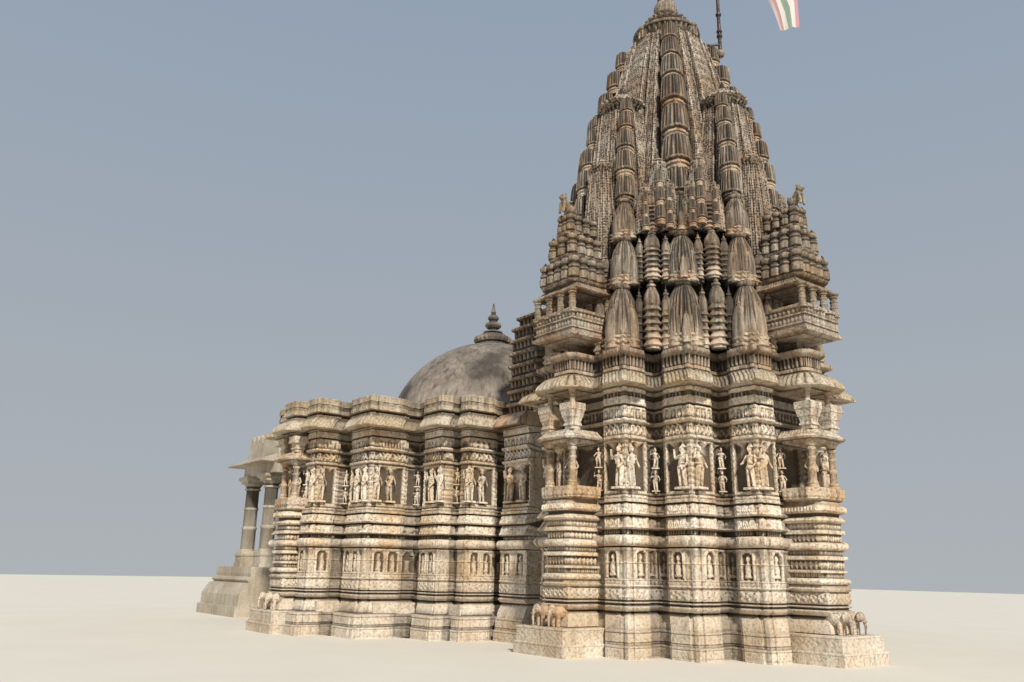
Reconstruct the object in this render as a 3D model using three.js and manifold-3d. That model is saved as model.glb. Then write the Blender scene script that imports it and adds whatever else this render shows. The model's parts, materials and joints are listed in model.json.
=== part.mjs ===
// A carved stone temple: a sanctum tower with a curved spire, a domed hall and a pillared porch.
// Millimetres, Z up. The origin is the ground under the middle of the tower; the hall and the
// porch lie toward -X, the rear face of the sanctum looks along +X.
import * as THREE from "three";
import Module from "manifold-3d";

const wasm = await Module();
wasm.setup();

// Driving dimensions
const GAP = 0.3; // left between touching pieces
const PLINTH_TOP = 1353; // floor level inside
const WALL_TOP = 5470; // underside of the ribbed eave of the tower
const EAVE_TOP = 5820;
const ATTIC_TOP = 6610;
const HALL_WALL_TOP = 5140;
const HALL_EAVE_TOP = 5520;
const HALL_PARAPET_TOP = 6000;
const HALL_X = -8000; // middle of the hall
const FLOOR_RISE = 1600; // porch floor
const TOWER_END_X = -2300; // the tower stops here and the vestibule starts
const HALL_REAR_X = -3350; // the vestibule stops here and the hall starts
const HALL_FRONT_X = -14300; // the hall stops here and the porch starts
const CELLA_HALF = 1650; // half the width of the sanctum room
const HALL_ROOM_HALF = 3200; // half the width of the hall room
const VESTIBULE_HALF = 1600; // half the width of the passage
const DOOR_HALF = 750;
const DOOR_TOP = 3900;
const DOME_RADIUS = 3300;
const DOME_SHELL = 250;
const SPIRE_TOP = 15700;
const VESTIBULE_TOP = 8600; // top of the roof block between the tower and the hall
const BALCONY_BACK = 2900; // back of the upper balconies, from the middle of the tower
const BALCONY_ROOF = 9290; // top of their second roof step, which the spire reaches over

// Plans as the outer corners of the steps, from the +X face round to the +Y face
const TOWER_PLAN = [[3460, 1550], [2545, 2545], [1550, 3460]];
const HALL_PLAN = [
  [6650, 1350], [5800, 2700], [4400, 3900], [3900, 4400], [2700, 5800], [1350, 6650],
];
const VESTIBULE_SIDE = 3130; // half width of the vestibule at the ground

// Bays in the middle of the faces, each part as [reach from the middle, half width]: the ledge
// on the ground, its upper course, the pedestal and cornices, and the eave and attic above
const TOWER_BAY = { ledge: [4503, 789], step: [4440, 730], body: [4170, 570], eave: [4010, 490] };
const HALL_BAY = { ledge: [7200, 790], step: [7140, 730], body: [6950, 570], eave: [6900, 490] };
const LEDGE_TOP = 245;
const STEP_TOP = 545;
const TOWER_BAY_TOP = 3115; // top of the cornices of the bays, where the balconies stand
const HALL_BAY_TOP = 3060;

// Mouldings as [height, offset of the wall face]; the vestibule and the hall share one wall
const PLINTH_PROFILE = [
  [0, 0], [245, 0], [262, -60], [545, -60], [562, -110], [865, -270],
  [990, -120], [1100, -210], [PLINTH_TOP - GAP, -185],
];
const LOW_WALL_PROFILE = [
  [PLINTH_TOP, -168], [1990, -185], [2090, -36], [2115, -160], [2165, -50], [2340, -50],
  [2460, -265], [2500, -120], [2780, -270], [2815, -100], [HALL_BAY_TOP, -250], [4640, -265],
  [4680, -170], [4990, -130], [5010, -240], [HALL_WALL_TOP - GAP, -180],
];
const TOWER_WALL_PROFILE = [
  [PLINTH_TOP, -168], [2005, -185], [2108, -36], [2134, -160], [2186, -50], [2368, -50],
  [2492, -265], [2534, -120], [2824, -270], [2860, -100], [TOWER_BAY_TOP, -250], [4754, -265],
  [4795, -170], [5117, -130], [5138, -240], [5335, -240], [WALL_TOP - GAP, -120],
];
const HALL_PLINTH_PROFILE = PLINTH_PROFILE.map(
  ([z, offset]) => [z, z < 553 ? offset + 220 : offset],
);
const EAVE_PROFILE = [[0, -110], [14, 261], [36, 261], [350, -26]];
const ATTIC_PROFILE = [
  [EAVE_TOP, -130], [6250, -150], [6280, -54], [6340, -54], [6370, -140], [ATTIC_TOP - GAP, -170],
];

const stone = (name, hex) => {
  const material = new THREE.MeshStandardMaterial({ color: hex, roughness: 0.85, metalness: 0 });
  material.name = name;
  return material;
};
const WALL_STONE = stone("wall_stone", 0xc9ad86);
const PLINTH_STONE = stone("plinth_stone", 0xb39a7a);
const EAVE_STONE = stone("eave_stone", 0xe2d2b4);
const SPIRE_STONE = stone("spire_stone", 0xa8906f);
const DOME_PLASTER = stone("dome_plaster", 0x55504a);
const WHITE_MARBLE = stone("white_marble", 0xeae4d6);
const PORCH_STONE = stone("porch_stone", 0xa39c8c);
const IRON = new THREE.MeshStandardMaterial({ color: 0xb9b4aa, roughness: 0.5, metalness: 0.6 });
IRON.name = "pole_paint";
const CLOTH = new THREE.MeshStandardMaterial({ color: 0xc0392b, roughness: 0.9, metalness: 0 });
CLOTH.name = "flag_cloth";

// Geometry helpers: every solid is a loft, cut or joined with manifold-3d

// Closed solid through rings [z, [[x, y], ...]] that all run anticlockwise with one point count.
function loft(rings) {
  const count = rings[0][1].length;
  const positions = [];
  const triangles = [];
  for (const [z, points] of rings) {
    for (const [x, y] of points) positions.push(x, y, z);
  }
  for (let level = 0; level + 1 < rings.length; level += 1) {
    for (let i = 0; i < count; i += 1) {
      const next = (i + 1) % count;
      const low = level * count;
      const high = low + count;
      triangles.push(low + i, low + next, high + next);
      triangles.push(low + i, high + next, high + i);
    }
  }
  const addCap = (level, up) => {
    const contour = rings[level][1].map(([x, y]) => new THREE.Vector2(x, y));
    const base = level * count;
    for (const [a, b, c] of THREE.ShapeUtils.triangulateShape(contour, [])) {
      const p = contour[a];
      const q = contour[b];
      const r = contour[c];
      const area = (q.x - p.x) * (r.y - p.y) - (q.y - p.y) * (r.x - p.x);
      const facesUp = area > 0;
      triangles.push(base + a, base + (facesUp === up ? b : c), base + (facesUp === up ? c : b));
    }
  };
  addCap(0, false);
  addCap(rings.length - 1, true);
  return new wasm.Manifold(
    new wasm.Mesh({
      numProp: 3,
      vertProperties: new Float32Array(positions),
      triVerts: new Uint32Array(triangles),
    }),
  );
}

// Outline of a stepped plan with every face moved out by offset.
function stepped(plan, offset, centreX = 0) {
  const quarter = plan.flatMap(([x, y], i) => (i === 0 ? [[x, y]] : [[x, plan[i - 1][1]], [x, y]]));
  const outline = [];
  for (let turn = 0; turn < 4; turn += 1) {
    for (const [x, y] of quarter) {
      let point = [x + offset, y + offset];
      for (let k = 0; k < turn; k += 1) point = [-point[1], point[0]];
      outline.push([point[0] + centreX, point[1]]);
    }
  }
  return outline;
}

const rectangle = (x0, x1, y0, y1) => [[x0, y0], [x1, y0], [x1, y1], [x0, y1]];

const box = (x0, x1, y0, y1, z0, z1) =>
  loft([[z0, rectangle(x0, x1, y0, y1)], [z1, rectangle(x0, x1, y0, y1)]]);

// Regular outline of a radius, with a flat side facing +X.
function circle(x, y, radius, sides) {
  return Array.from({ length: sides }, (_, i) => {
    const angle = ((i - 0.5) / sides) * 2 * Math.PI;
    return [x + radius * Math.cos(angle), y + radius * Math.sin(angle)];
  });
}

// Turned solid from [height, radius] pairs.
const turned = (x, y, profile, sides) =>
  loft(profile.map(([z, radius]) => [z, circle(x, y, radius, sides)]));

const course = (plan, profile, centreX = 0) =>
  loft(profile.map(([z, offset]) => [z, stepped(plan, offset, centreX)]));

// The same profile grown by the gap, to cut what is set against it.
const grown = (profile) => profile.map(([z, offset]) => [z, offset + GAP]);

const join = (solids) => solids.reduce((whole, solid) => whole.add(solid));

const cut = (solid, cutters) => cutters.reduce((whole, cutter) => whole.subtract(cutter), solid);

// Keeps the stretch between two planes across an axis (0 = X, 1 = Y, 2 = Z).
function between(solid, axis, low, high) {
  const normal = [0, 0, 0];
  normal[axis] = 1;
  const away = normal.map((value) => -value);
  return solid.trimByPlane(normal, low).trimByPlane(away, -high);
}

// Turns a solid by quarter turns about the Z axis through the origin.
const quarterTurn = (solid, turns) => solid.rotate([0, 0, 90 * turns]);

// A profile round a rectangular bay, one on each face.
function bays([reach, half], profile, centreX = 0) {
  const bay = loft(profile.map(
    ([z, offset]) => [z, rectangle(0, reach + offset, -half - offset, half + offset)],
  ));
  return join([0, 1, 2, 3].map((turns) => quarterTurn(bay, turns).translate([centreX, 0, 0])));
}

// Plinth with its bays: the two ledge courses, then the mouldings carried round the pedestal.
function plinthCourse(plan, bay, profile, centreX = 0) {
  const upper = profile.filter(([z]) => z > STEP_TOP);
  upper.unshift([STEP_TOP - 20, upper[0][1]]);
  return join([
    course(plan, profile, centreX),
    bays(bay.ledge, [[0, 0], [LEDGE_TOP, 0]], centreX),
    bays(bay.step, [[LEDGE_TOP - 20, 0], [STEP_TOP, 0]], centreX),
    bays(bay.body, upper, centreX),
  ]);
}

// Walls with the pedestals and cornices of their bays.
function wallCourse(plan, bay, top, profile, centreX = 0) {
  const lower = profile.filter(([z]) => z <= top);
  return course(plan, profile, centreX).add(bays(bay.body, lower, centreX));
}

const temple = new THREE.Group();
temple.name = "temple";

function addNode(name, solid, material) {
  const mesh = solid.getMesh();
  const geometry = new THREE.BufferGeometry();
  const positions = new Float32Array(mesh.numVert * 3);
  for (let i = 0; i < mesh.numVert; i += 1) {
    positions.set(mesh.vertProperties.subarray(i * mesh.numProp, i * mesh.numProp + 3), i * 3);
  }
  geometry.setAttribute("position", new THREE.BufferAttribute(positions, 3));
  geometry.setIndex(new THREE.BufferAttribute(mesh.triVerts, 1));
  geometry.computeVertexNormals();
  const node = new THREE.Mesh(geometry, material);
  node.name = name;
  temple.add(node);
}

// Tower: plinth, walls round the sanctum room, eave and attic
const FAR = 30000; // beyond every piece, for one-sided cuts

function buildTower() {
  const plinth = plinthCourse(TOWER_PLAN, TOWER_BAY, PLINTH_PROFILE);
  addNode("tower_plinth", between(plinth, 0, TOWER_END_X + GAP, FAR), PLINTH_STONE);

  const body = wallCourse(TOWER_PLAN, TOWER_BAY, TOWER_BAY_TOP, TOWER_WALL_PROFILE);
  const niche = (turns) => quarterTurn(box(2950, 6000, -330, 330, 3395, 4330), turns);
  const room = CELLA_HALF;
  const rear = between(body, 0, room, FAR).subtract(niche(0));
  addNode("tower_wall_rear", rear, WALL_STONE);
  const middle = between(body, 0, TOWER_END_X + GAP, room - GAP);
  const near = between(middle, 1, -FAR, -room).subtract(niche(3));
  addNode("tower_wall_near", near, WALL_STONE);
  const far = between(middle, 1, room, FAR).subtract(niche(1));
  addNode("tower_wall_far", far, WALL_STONE);
  const front = between(between(body, 0, TOWER_END_X + GAP, -room), 1, -room + GAP, room - GAP);
  const door = box(TOWER_END_X - 50, -room + 50, -DOOR_HALF, DOOR_HALF, 0, DOOR_TOP);
  addNode("sanctum_door_wall", front.subtract(door), WALL_STONE);

  const eaveProfile = EAVE_PROFILE.map(
    ([z, offset]) => [WALL_TOP + Math.min(z, 350 - GAP), offset],
  );
  const eave = course(TOWER_PLAN, eaveProfile).add(bays(TOWER_BAY.eave, eaveProfile));
  addNode("tower_eave", between(eave, 0, TOWER_END_X + GAP, FAR), EAVE_STONE);
  const attic = course(TOWER_PLAN, ATTIC_PROFILE).add(bays(TOWER_BAY.eave, ATTIC_PROFILE));
  addNode("tower_attic", between(attic, 0, TOWER_END_X + GAP, FAR), WALL_STONE);
}

// Spire: a curved core, corner spirelets in tiers and one large half spire on each side

// Corner reach of the core at a height.
const SPIRE_CURVE = [
  [ATTIC_TOP, 2250], [7500, 2170], [8900, 2030], [9900, 1910], [10900, 1770], [11900, 1620],
  [12900, 1450], [13900, 1260], [14700, 1080], [15300, 920], [SPIRE_TOP, 820],
];

// Banded square plan of a spire: the middle band stands out, the corners step back.
const SPIRE_STEPS = [[1.12, 0.3], [1.05, 0.62], [0.93, 0.93], [0.62, 1.05], [0.3, 1.12]];
const spirePlan = (reach) => SPIRE_STEPS.map(([x, y]) => [reach * x, reach * y]);

// Small complete spire: base, curved body, neck, disc and pot on a square plan.
const SPIRELET_PROFILE = [[0, 1], [0.14, 1], [0.16, 0.84], [0.5, 0.74], [0.74, 0.36], [1, 0.08]];

function spirelet(x, y, z, reach, height) {
  return loft(SPIRELET_PROFILE.map(([part, width]) => {
    const r = reach * width * 0.94;
    return [z + height * part, rectangle(x - r, x + r, y - r, y + r)];
  }));
}

// Tiers of the corner stacks: [base, height, reach of a spirelet, corner reach]
const TIERS = [
  [ATTIC_TOP, 1400, 400, 2040],
  [8010, 1190, 370, 1960],
  [9180, 1120, 340, 1860],
  [10260, 1050, 310, 1740],
  [11350, 1000, 285, 1590],
  [12330, 930, 255, 1430],
  [13240, 960, 220, 1190],
  [14180, 880, 200, 990],
  [15040, 640, 175, 800],
];
const SIDE_TIERS = 2; // the lowest tiers also stand over the outer corners of the plan
const SPIRE_SPLITS = [ATTIC_TOP, 8010, 11350, SPIRE_TOP + 300];
const SPIRE_NODES = ["spire_base", "spire_lower", "spire_upper"];
// Half spires against the middle of each face: [distance out, base, top of the disc, reach]
const HALF_SPIRES = [
  [1900, 7000, 13450, 1000],
  [2550, 7600, 11450, 620],
];
// Smaller ones beside them and at the corners: [x, y, base, top of the disc, reach]
const SIDE_SPIRES = [
  [2400, 1620, 7600, 11000, 470],
  [3000, 1000, 7600, 10200, 360],
  [2760, 1820, 7600, 10050, 330],
];

// Large half spire: a curved banded body under a ribbed disc and a pot.
function halfSpire([out, base, top, reach]) {
  const rise = top - base;
  const body = [[0, 1], [0.4, 0.96], [0.7, 0.78], [0.88, 0.54], [0.93, 0.42]];
  const rings = body.map(([part, width]) => {
    const r = reach * width;
    const k = r * 0.62;
    const outline = [[r, -k], [r, k], [k, r], [-k, r], [-r, k], [-r, -k], [-k, -r], [k, -r]];
    return [base + rise * part, outline.map(([x, y]) => [x + out, y])];
  });
  const disc = turned(out, 0, [
    [base + rise * 0.92, reach * 0.5], [base + rise * 0.94, reach * 0.68],
    [base + rise * 0.98, reach * 0.68], [top, reach * 0.3], [top + 260, reach * 0.12],
  ], 8);
  return loft(rings).add(disc);
}

// Smaller one on a square plan, with its disc and pot in the same outline.
const SIDE_SPIRE_PROFILE = [[0, 1], [0.6, 0.93], [0.9, 0.56], [0.93, 0.74], [1, 0.3]];

function sideSpire([x, y, base, top, reach]) {
  return loft(SIDE_SPIRE_PROFILE.map(([part, width]) => {
    const r = reach * width;
    return [base + (top - base) * part, rectangle(x - r, x + r, y - r, y + r)];
  }));
}

const standsClear = (solid) => {
  const { min, max } = solid.boundingBox();
  return min[0] > TOWER_END_X - 700 || max[2] > VESTIBULE_TOP + 700;
};

function buildSpire() {
  const pieces = [loft(SPIRE_CURVE.map(([z, reach]) => [z, stepped(spirePlan(reach), 0)]))];
  pieces.push(loft([
    [SPIRE_TOP - 20, stepped(spirePlan(820), 0)],
    [SPIRE_TOP + 60, stepped(spirePlan(880), 0)],
    [SPIRE_TOP + 240, stepped(spirePlan(700), 0)],
  ]));
  const skirt = loft([
    [ATTIC_TOP, stepped(TOWER_PLAN, -330)],
    [7200, stepped(TOWER_PLAN, -430)],
    [7210, stepped(TOWER_PLAN, -560)],
    [8500, stepped(TOWER_PLAN, -700)],
  ]);
  pieces.push(skirt);
  TIERS.forEach(([base, height, reach, corner], index) => {
    const places = [[corner, corner]];
    if (index < SIDE_TIERS) {
      const side = 1110 - index * 30;
      const out = 2930 - index * 240;
      places.push([out, side], [side, out]);
    }
    const small = places.map(([x, y]) => spirelet(x, y, base - 30, reach, height + 30));
    for (let turns = 0; turns < 4; turns += 1) {
      const placed = small.map((solid) => quarterTurn(solid, turns));
      // over the vestibule its roof block takes the place of the lowest ones
      pieces.push(...placed.filter((solid) => standsClear(solid)));
    }
  });
  for (const spec of HALF_SPIRES) {
    for (let turns = 0; turns < 4; turns += 1) {
      pieces.push(quarterTurn(halfSpire(spec), turns));
    }
  }
  const sides = SIDE_SPIRES.flatMap(([x, y, ...rest]) => [[x, y, ...rest], [y, x, ...rest]]);
  for (const spec of sides) {
    for (let turns = 0; turns < 4; turns += 1) {
      const placed = quarterTurn(sideSpire(spec), turns);
      if (standsClear(placed)) pieces.push(placed);
    }
  }
  const block = box(-FAR, TOWER_END_X + GAP, -FAR, FAR, 0, VESTIBULE_TOP + GAP);
  const recess = box(BALCONY_BACK - GAP, FAR, -780, 780, ATTIC_TOP - 10, BALCONY_ROOF + GAP);
  const recesses = [0, 1, 3].map((turns) => quarterTurn(recess, turns));
  const spire = cut(join(pieces), [block, ...recesses]);
  SPIRE_NODES.forEach((name, index) => {
    const high = SPIRE_SPLITS[index + 1] - GAP;
    addNode(name, between(spire, 2, SPIRE_SPLITS[index], high), SPIRE_STONE);
  });

  const seat = SPIRE_TOP + 240;
  addNode("amalaka", turned(0, 0, [
    [seat + GAP, 620], [seat + 60, 620], [seat + 130, 880], [seat + 330, 930], [seat + 520, 860],
    [seat + 640, 640], [seat + 660, 480],
  ], 24), SPIRE_STONE);
  const crown = seat + 660 + GAP;
  addNode("crown_dome", turned(0, 0, [
    [crown, 470], [crown + 100, 600], [crown + 250, 430], [crown + 360, 430], [crown + 400, 290],
    [crown + 580, 330], [crown + 730, 325], [crown + 900, 250], [crown + 1050, 90],
  ], 20), WHITE_MARBLE);
  const pot = crown + 1050 + GAP;
  addNode("crown_finial", turned(0, 0, [
    [pot, 85], [pot + 60, 150], [pot + 90, 80], [pot + 150, 110], [pot + 250, 170],
    [pot + 350, 150], [pot + 420, 60], [pot + 460, 90], [pot + 620, 20],
  ], 16), WHITE_MARBLE);
}

// Flagpole: an iron pole on a stone ball over the top corner spirelet, tied to the shoulder by
// an arm, with a long flag that hangs from it
const POLE = { reach: 1040, radius: 42, foot: 15550 + GAP, top: 19350 };
const FLAG_BEARING = 52.8; // degrees from +X toward +Y
// The flag as [distance from the pole, height], round its edge
const FLAG_OUTLINE = [
  [0, 18300], [1000, 18200], [1400, 17600], [1650, 16430], [2270, 16600], [2290, 17500],
  [2080, 18300], [1550, 18900], [1000, 19130], [0, 19150],
];

function buildFlag() {
  const { reach, radius, foot, top } = POLE;
  const diagonal = reach * Math.SQRT2;
  const arm = SPIRE_TOP + 240 + GAP;
  const pole = join([
    turned(reach, reach, [[foot, 60], [foot + 110, 125], [foot + 230, 70]], 12),
    turned(reach, reach, [[foot + 200, radius], [top, radius]], 10),
    turned(reach, reach, [[top - 5, 60], [top + 50, 75], [top + 110, 15]], 10),
    box(720, diagonal, -30, 30, arm, arm + 45).rotate([0, 0, 45]),
  ]);
  addNode("flagpole", pole, IRON);
  const thick = 6;
  const outline = FLAG_OUTLINE.map(([out, z]) => [out + radius + GAP, z]);
  const flag = loft([[-thick, outline], [thick, outline]]).rotate([90, 0, 0]);
  addNode("flag", flag.rotate([0, 0, FLAG_BEARING]).translate([reach, reach, 0]), CLOTH);
}

// Balconies of the bays, built for the +X face and turned to the others
const post = (x, y, z0, z1, radius, sides = 8) => turned(x, y, [
  [z0, radius * 1.3], [z0 + (z1 - z0) * 0.15, radius], [z0 + (z1 - z0) * 0.82, radius * 0.85],
  [z1, radius * 1.5],
], sides);

// Sloping slab round a bay: edge height, thickness at the wall, and how far it stands out.
function canopy(x0, x1, half, z, rise, out) {
  const wide = rectangle(x0, x1 + out, -half - out, half + out);
  const narrow = rectangle(x0, x1, -half, half);
  return loft([[z, wide], [z + 30, wide], [z + rise, narrow]]);
}

// Two columns on a floor slab under a canopy, with two blocks above that carry the eave.
function lowerBalcony(column, base, top, wall) {
  const side = 370; // of the columns, from the middle of the bay
  const back = column - 600;
  const around = (y, half) => rectangle(column - half, column + half, y - half, y + half);
  const blocks = [-side, side].flatMap((y) => [
    post(column, y, 3380, 4345, 80),
    loft([[4590, around(y, 130)], [4840, around(y, 140)], [top - 290, around(y, 210)]]),
    post(column, y, top - 295, top - GAP, 60, 6),
  ]);
  const solid = join([
    loft([
      [base + GAP, rectangle(back, column + 120, -500, 500)],
      [base + 50, rectangle(back, column + 190, -600, 600)],
      [3392, rectangle(back, column + 190, -600, 600)],
    ]),
    box(back, column + 110, -480, 480, 4335, 4400),
    canopy(back, column + 150, 490, 4395, 205, 190),
    ...blocks,
  ]);
  return solid.subtract(wall);
}

// Seat with open columns under a stepped roof, on the attic.
function upperBalcony() {
  const back = BALCONY_BACK;
  const front = 4100;
  const floor = ATTIC_TOP + 60;
  const sides = [-600, -200, 200, 600];
  const tier = (z, rise, x0, x1, half) => loft([
    [z, rectangle(x0, x1, -half, half)],
    [z + rise * 0.55, rectangle(x0, x1, -half, half)],
    [z + rise * 0.6, rectangle(x0, x1 + 60, -half - 60, half + 60)],
    [z + rise, rectangle(x0, x1 - 90, -half + 90, half - 90)],
  ]);
  const seat = cut(
    loft([
      [floor + 50, rectangle(back, front, -620, 620)],
      [7280, rectangle(back, front + 70, -690, 690)],
    ]),
    [
      loft([
        [floor + 60, rectangle(back + 80, front - 110, -520, 520)],
        [7330, rectangle(back + 80, front - 40, -590, 590)],
      ]),
      box(front - 200, front + 200, -150, 150, floor + 60, 7400),
    ],
  );
  return join([
    loft([
      [ATTIC_TOP, rectangle(back, front - 150, -520, 520)],
      [floor, rectangle(back, front + 80, -690, 690)],
      [floor + 60, rectangle(back, front + 80, -690, 690)],
    ]),
    seat,
    ...sides.map((y) => post(front - 30, y, floor + 50, 7720, 62, 6)),
    post(back + 90, -580, floor + 50, 7720, 60, 4),
    post(back + 90, 580, floor + 50, 7720, 60, 4),
    canopy(back, front - 60, 520, 7700, 230, 240),
    tier(7920, 720, back, 4130, 640),
    tier(8630, BALCONY_ROOF - 8630, back, 4030, 450),
    tier(BALCONY_ROOF - 10, 550, 3440, 3930, 260),
    loft([
      [9800, rectangle(3520, 3840, -120, 120)], [9900, rectangle(3540, 3830, -130, 130)],
      [10120, rectangle(3640, 3820, -90, 90)], [10300, rectangle(3680, 3830, -70, 70)],
    ]),
  ]);
}

// Front half of an elephant that steps out of the wall, trunk down, looking along +X.
function elephant(x, y, z, size) {
  const across = (x0, x1, half) => rectangle(
    x + x0 * size, x + x1 * size, y - half * size, y + half * size,
  );
  const barrel = (x0, x1, half, low, high) => loft([
    [z + low * size, across(x0, x1, half * 0.7)],
    [z + (low * 0.6 + high * 0.4) * size, across(x0, x1, half)],
    [z + high * size, across(x0 + 0.06, x1 - 0.06, half * 0.5)],
  ]);
  const leg = (lx, ly) => box(
    x + (lx - 0.09) * size, x + (lx + 0.09) * size,
    y + (ly - 0.08) * size, y + (ly + 0.08) * size, z, z + 0.5 * size,
  );
  return join([
    barrel(-0.55, 0.3, 0.27, 0.38, 0.98),
    barrel(0.2, 0.56, 0.19, 0.52, 1.05),
    loft([
      [z, across(0.5, 0.62, 0.06)],
      [z + 0.75 * size, across(0.45, 0.64, 0.1)],
    ]),
    leg(0.18, -0.17), leg(0.18, 0.17),
  ]);
}

// Pair of them side by side on the ledge of a bay.
function elephants(bay, plinth) {
  const x = bay.step[0] - 290;
  const base = STEP_TOP + GAP;
  const pair = join([
    box(x - 200, x + 250, -380, 380, base, base + 30),
    elephant(x, -240, base, 450),
    elephant(x, 240, base, 450),
  ]);
  return pair.subtract(plinth);
}

// Hall: plinth, walls round one room, eave, parapet and dome
function buildHall() {
  const front = HALL_FRONT_X + GAP;
  const rear = HALL_REAR_X - GAP;
  const clipped = (solid) => between(solid, 0, front, rear);
  const plinth = plinthCourse(HALL_PLAN, HALL_BAY, HALL_PLINTH_PROFILE, HALL_X);
  addNode("hall_plinth", clipped(plinth), PLINTH_STONE);
  const body = clipped(wallCourse(HALL_PLAN, HALL_BAY, HALL_BAY_TOP, LOW_WALL_PROFILE, HALL_X));
  const room = HALL_ROOM_HALF;
  const middle = between(body, 0, HALL_X - room + GAP, HALL_X + room - GAP);
  const niche = (side) => {
    const [y0, y1] = side < 0 ? [-9000, -6050] : [6050, 9000];
    return box(HALL_X - 330, HALL_X + 330, y0, y1, 3395, 4330);
  };
  addNode("hall_wall_near", between(middle, 1, -FAR, -room).subtract(niche(-1)), WALL_STONE);
  addNode("hall_wall_far", between(middle, 1, room, FAR).subtract(niche(1)), WALL_STONE);
  const doorway = box(front - 50, HALL_X - room + 50, -DOOR_HALF, DOOR_HALF, 0, DOOR_TOP);
  const entrance = between(body, 0, front, HALL_X - room);
  addNode("hall_wall_front", entrance.subtract(doorway), WALL_STONE);
  const passage = box(HALL_X + room - 50, rear + 50, -VESTIBULE_HALF, VESTIBULE_HALF, 0, 4600);
  const back = between(body, 0, HALL_X + room, rear);
  addNode("hall_wall_rear", back.subtract(passage), WALL_STONE);

  const eye = turned(HALL_X, 0, [[4000, DOME_RADIUS - DOME_SHELL], [7000, DOME_RADIUS - DOME_SHELL]], 28);
  const banded = (profile) => clipped(
    course(HALL_PLAN, profile, HALL_X).add(bays(HALL_BAY.eave, profile, HALL_X)),
  );
  const eave = banded([
    ...EAVE_PROFILE.map(([z, offset]) => [HALL_WALL_TOP + z, offset]), [HALL_EAVE_TOP - GAP, -60],
  ]);
  addNode("hall_eave", eave.subtract(eye), EAVE_STONE);
  const parapet = banded([
    [HALL_EAVE_TOP, -120], [HALL_EAVE_TOP + 80, -160], [HALL_EAVE_TOP + 95, -30],
    [HALL_PARAPET_TOP - 10, -30], [HALL_PARAPET_TOP, -60],
  ]);
  const roof = loft([
    [HALL_EAVE_TOP + 130, stepped(HALL_PLAN, -330, HALL_X)],
    [HALL_PARAPET_TOP + 100, stepped(HALL_PLAN, -330, HALL_X)],
  ]);
  addNode("hall_parapet", parapet.subtract(roof).subtract(eye), EAVE_STONE);

  const springing = HALL_EAVE_TOP + 130 + GAP;
  const shell = (radius, rise) => {
    const profileRings = [];
    for (let i = 0; i <= 7; i += 1) {
      const angle = (i / 7) * (Math.PI / 2) * 0.96;
      profileRings.push([springing + rise * Math.sin(angle), radius * Math.cos(angle)]);
    }
    return profileRings;
  };
  const outer = turned(HALL_X, 0, shell(DOME_RADIUS, 3200), 28);
  const inner = turned(HALL_X, 0, [
    [springing - 20, DOME_RADIUS - DOME_SHELL], ...shell(DOME_RADIUS - DOME_SHELL, 2950),
  ], 28);
  addNode("hall_dome", outer.subtract(inner), DOME_PLASTER);
  const top = springing + 3200 * Math.sin((Math.PI / 2) * 0.96) + GAP;
  addNode("dome_finial", turned(HALL_X, 0, [
    [top, 190], [top + 60, 520], [top + 130, 620], [top + 260, 620], [top + 340, 480],
    [top + 400, 300], [top + 470, 330], [top + 560, 150], [top + 700, 270],
    [top + 880, 120], [top + 1000, 190], [top + 1140, 70], [top + 1500, 20],
  ], 16), DOME_PLASTER);
}

// Vestibule between the tower and the hall: two walls and a tall roof block
function buildVestibule() {
  const x0 = HALL_REAR_X;
  const x1 = TOWER_END_X;
  const rings = (profile, side) => profile.map(([z, offset]) => {
    const face = VESTIBULE_SIDE + offset;
    const [y0, y1] = side < 0 ? [-face, -VESTIBULE_HALF] : [VESTIBULE_HALF, face];
    return [z, rectangle(x0, x1, y0, y1)];
  });
  addNode("vestibule_plinth", loft(PLINTH_PROFILE.map(([z, offset]) => {
    const face = VESTIBULE_SIDE + offset;
    return [z, rectangle(x0, x1, -face, face)];
  })), PLINTH_STONE);
  addNode("vestibule_wall_near", loft(rings(LOW_WALL_PROFILE, -1)), WALL_STONE);
  addNode("vestibule_wall_far", loft(rings(LOW_WALL_PROFILE, 1)), WALL_STONE);
  const wide = (offset) => {
    const face = VESTIBULE_SIDE + offset;
    return rectangle(x0, x1, -face, face);
  };
  addNode("vestibule_roof", loft([
    [HALL_WALL_TOP, wide(-110)], [HALL_WALL_TOP + 14, wide(180)], [HALL_WALL_TOP + 36, wide(180)],
    [HALL_EAVE_TOP, wide(-60)], [5700, wide(-330)], [6400, wide(-350)], [6420, wide(-250)],
    [6520, wide(-280)], [6540, wide(-380)], [7300, wide(-400)], [7320, wide(-280)],
    [7420, wide(-320)], [7440, wide(-420)], [8000, wide(-500)], [8300, wide(-900)],
    [VESTIBULE_TOP, wide(-1700)],
  ]), WALL_STONE);
}

// Porch: moulded platform, octagonal columns, sloping eave and a merlon parapet
const PORCH = { x0: -17700, x1: HALL_FRONT_X - GAP, half: 5100, front: -17000, second: -15200 };

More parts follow.
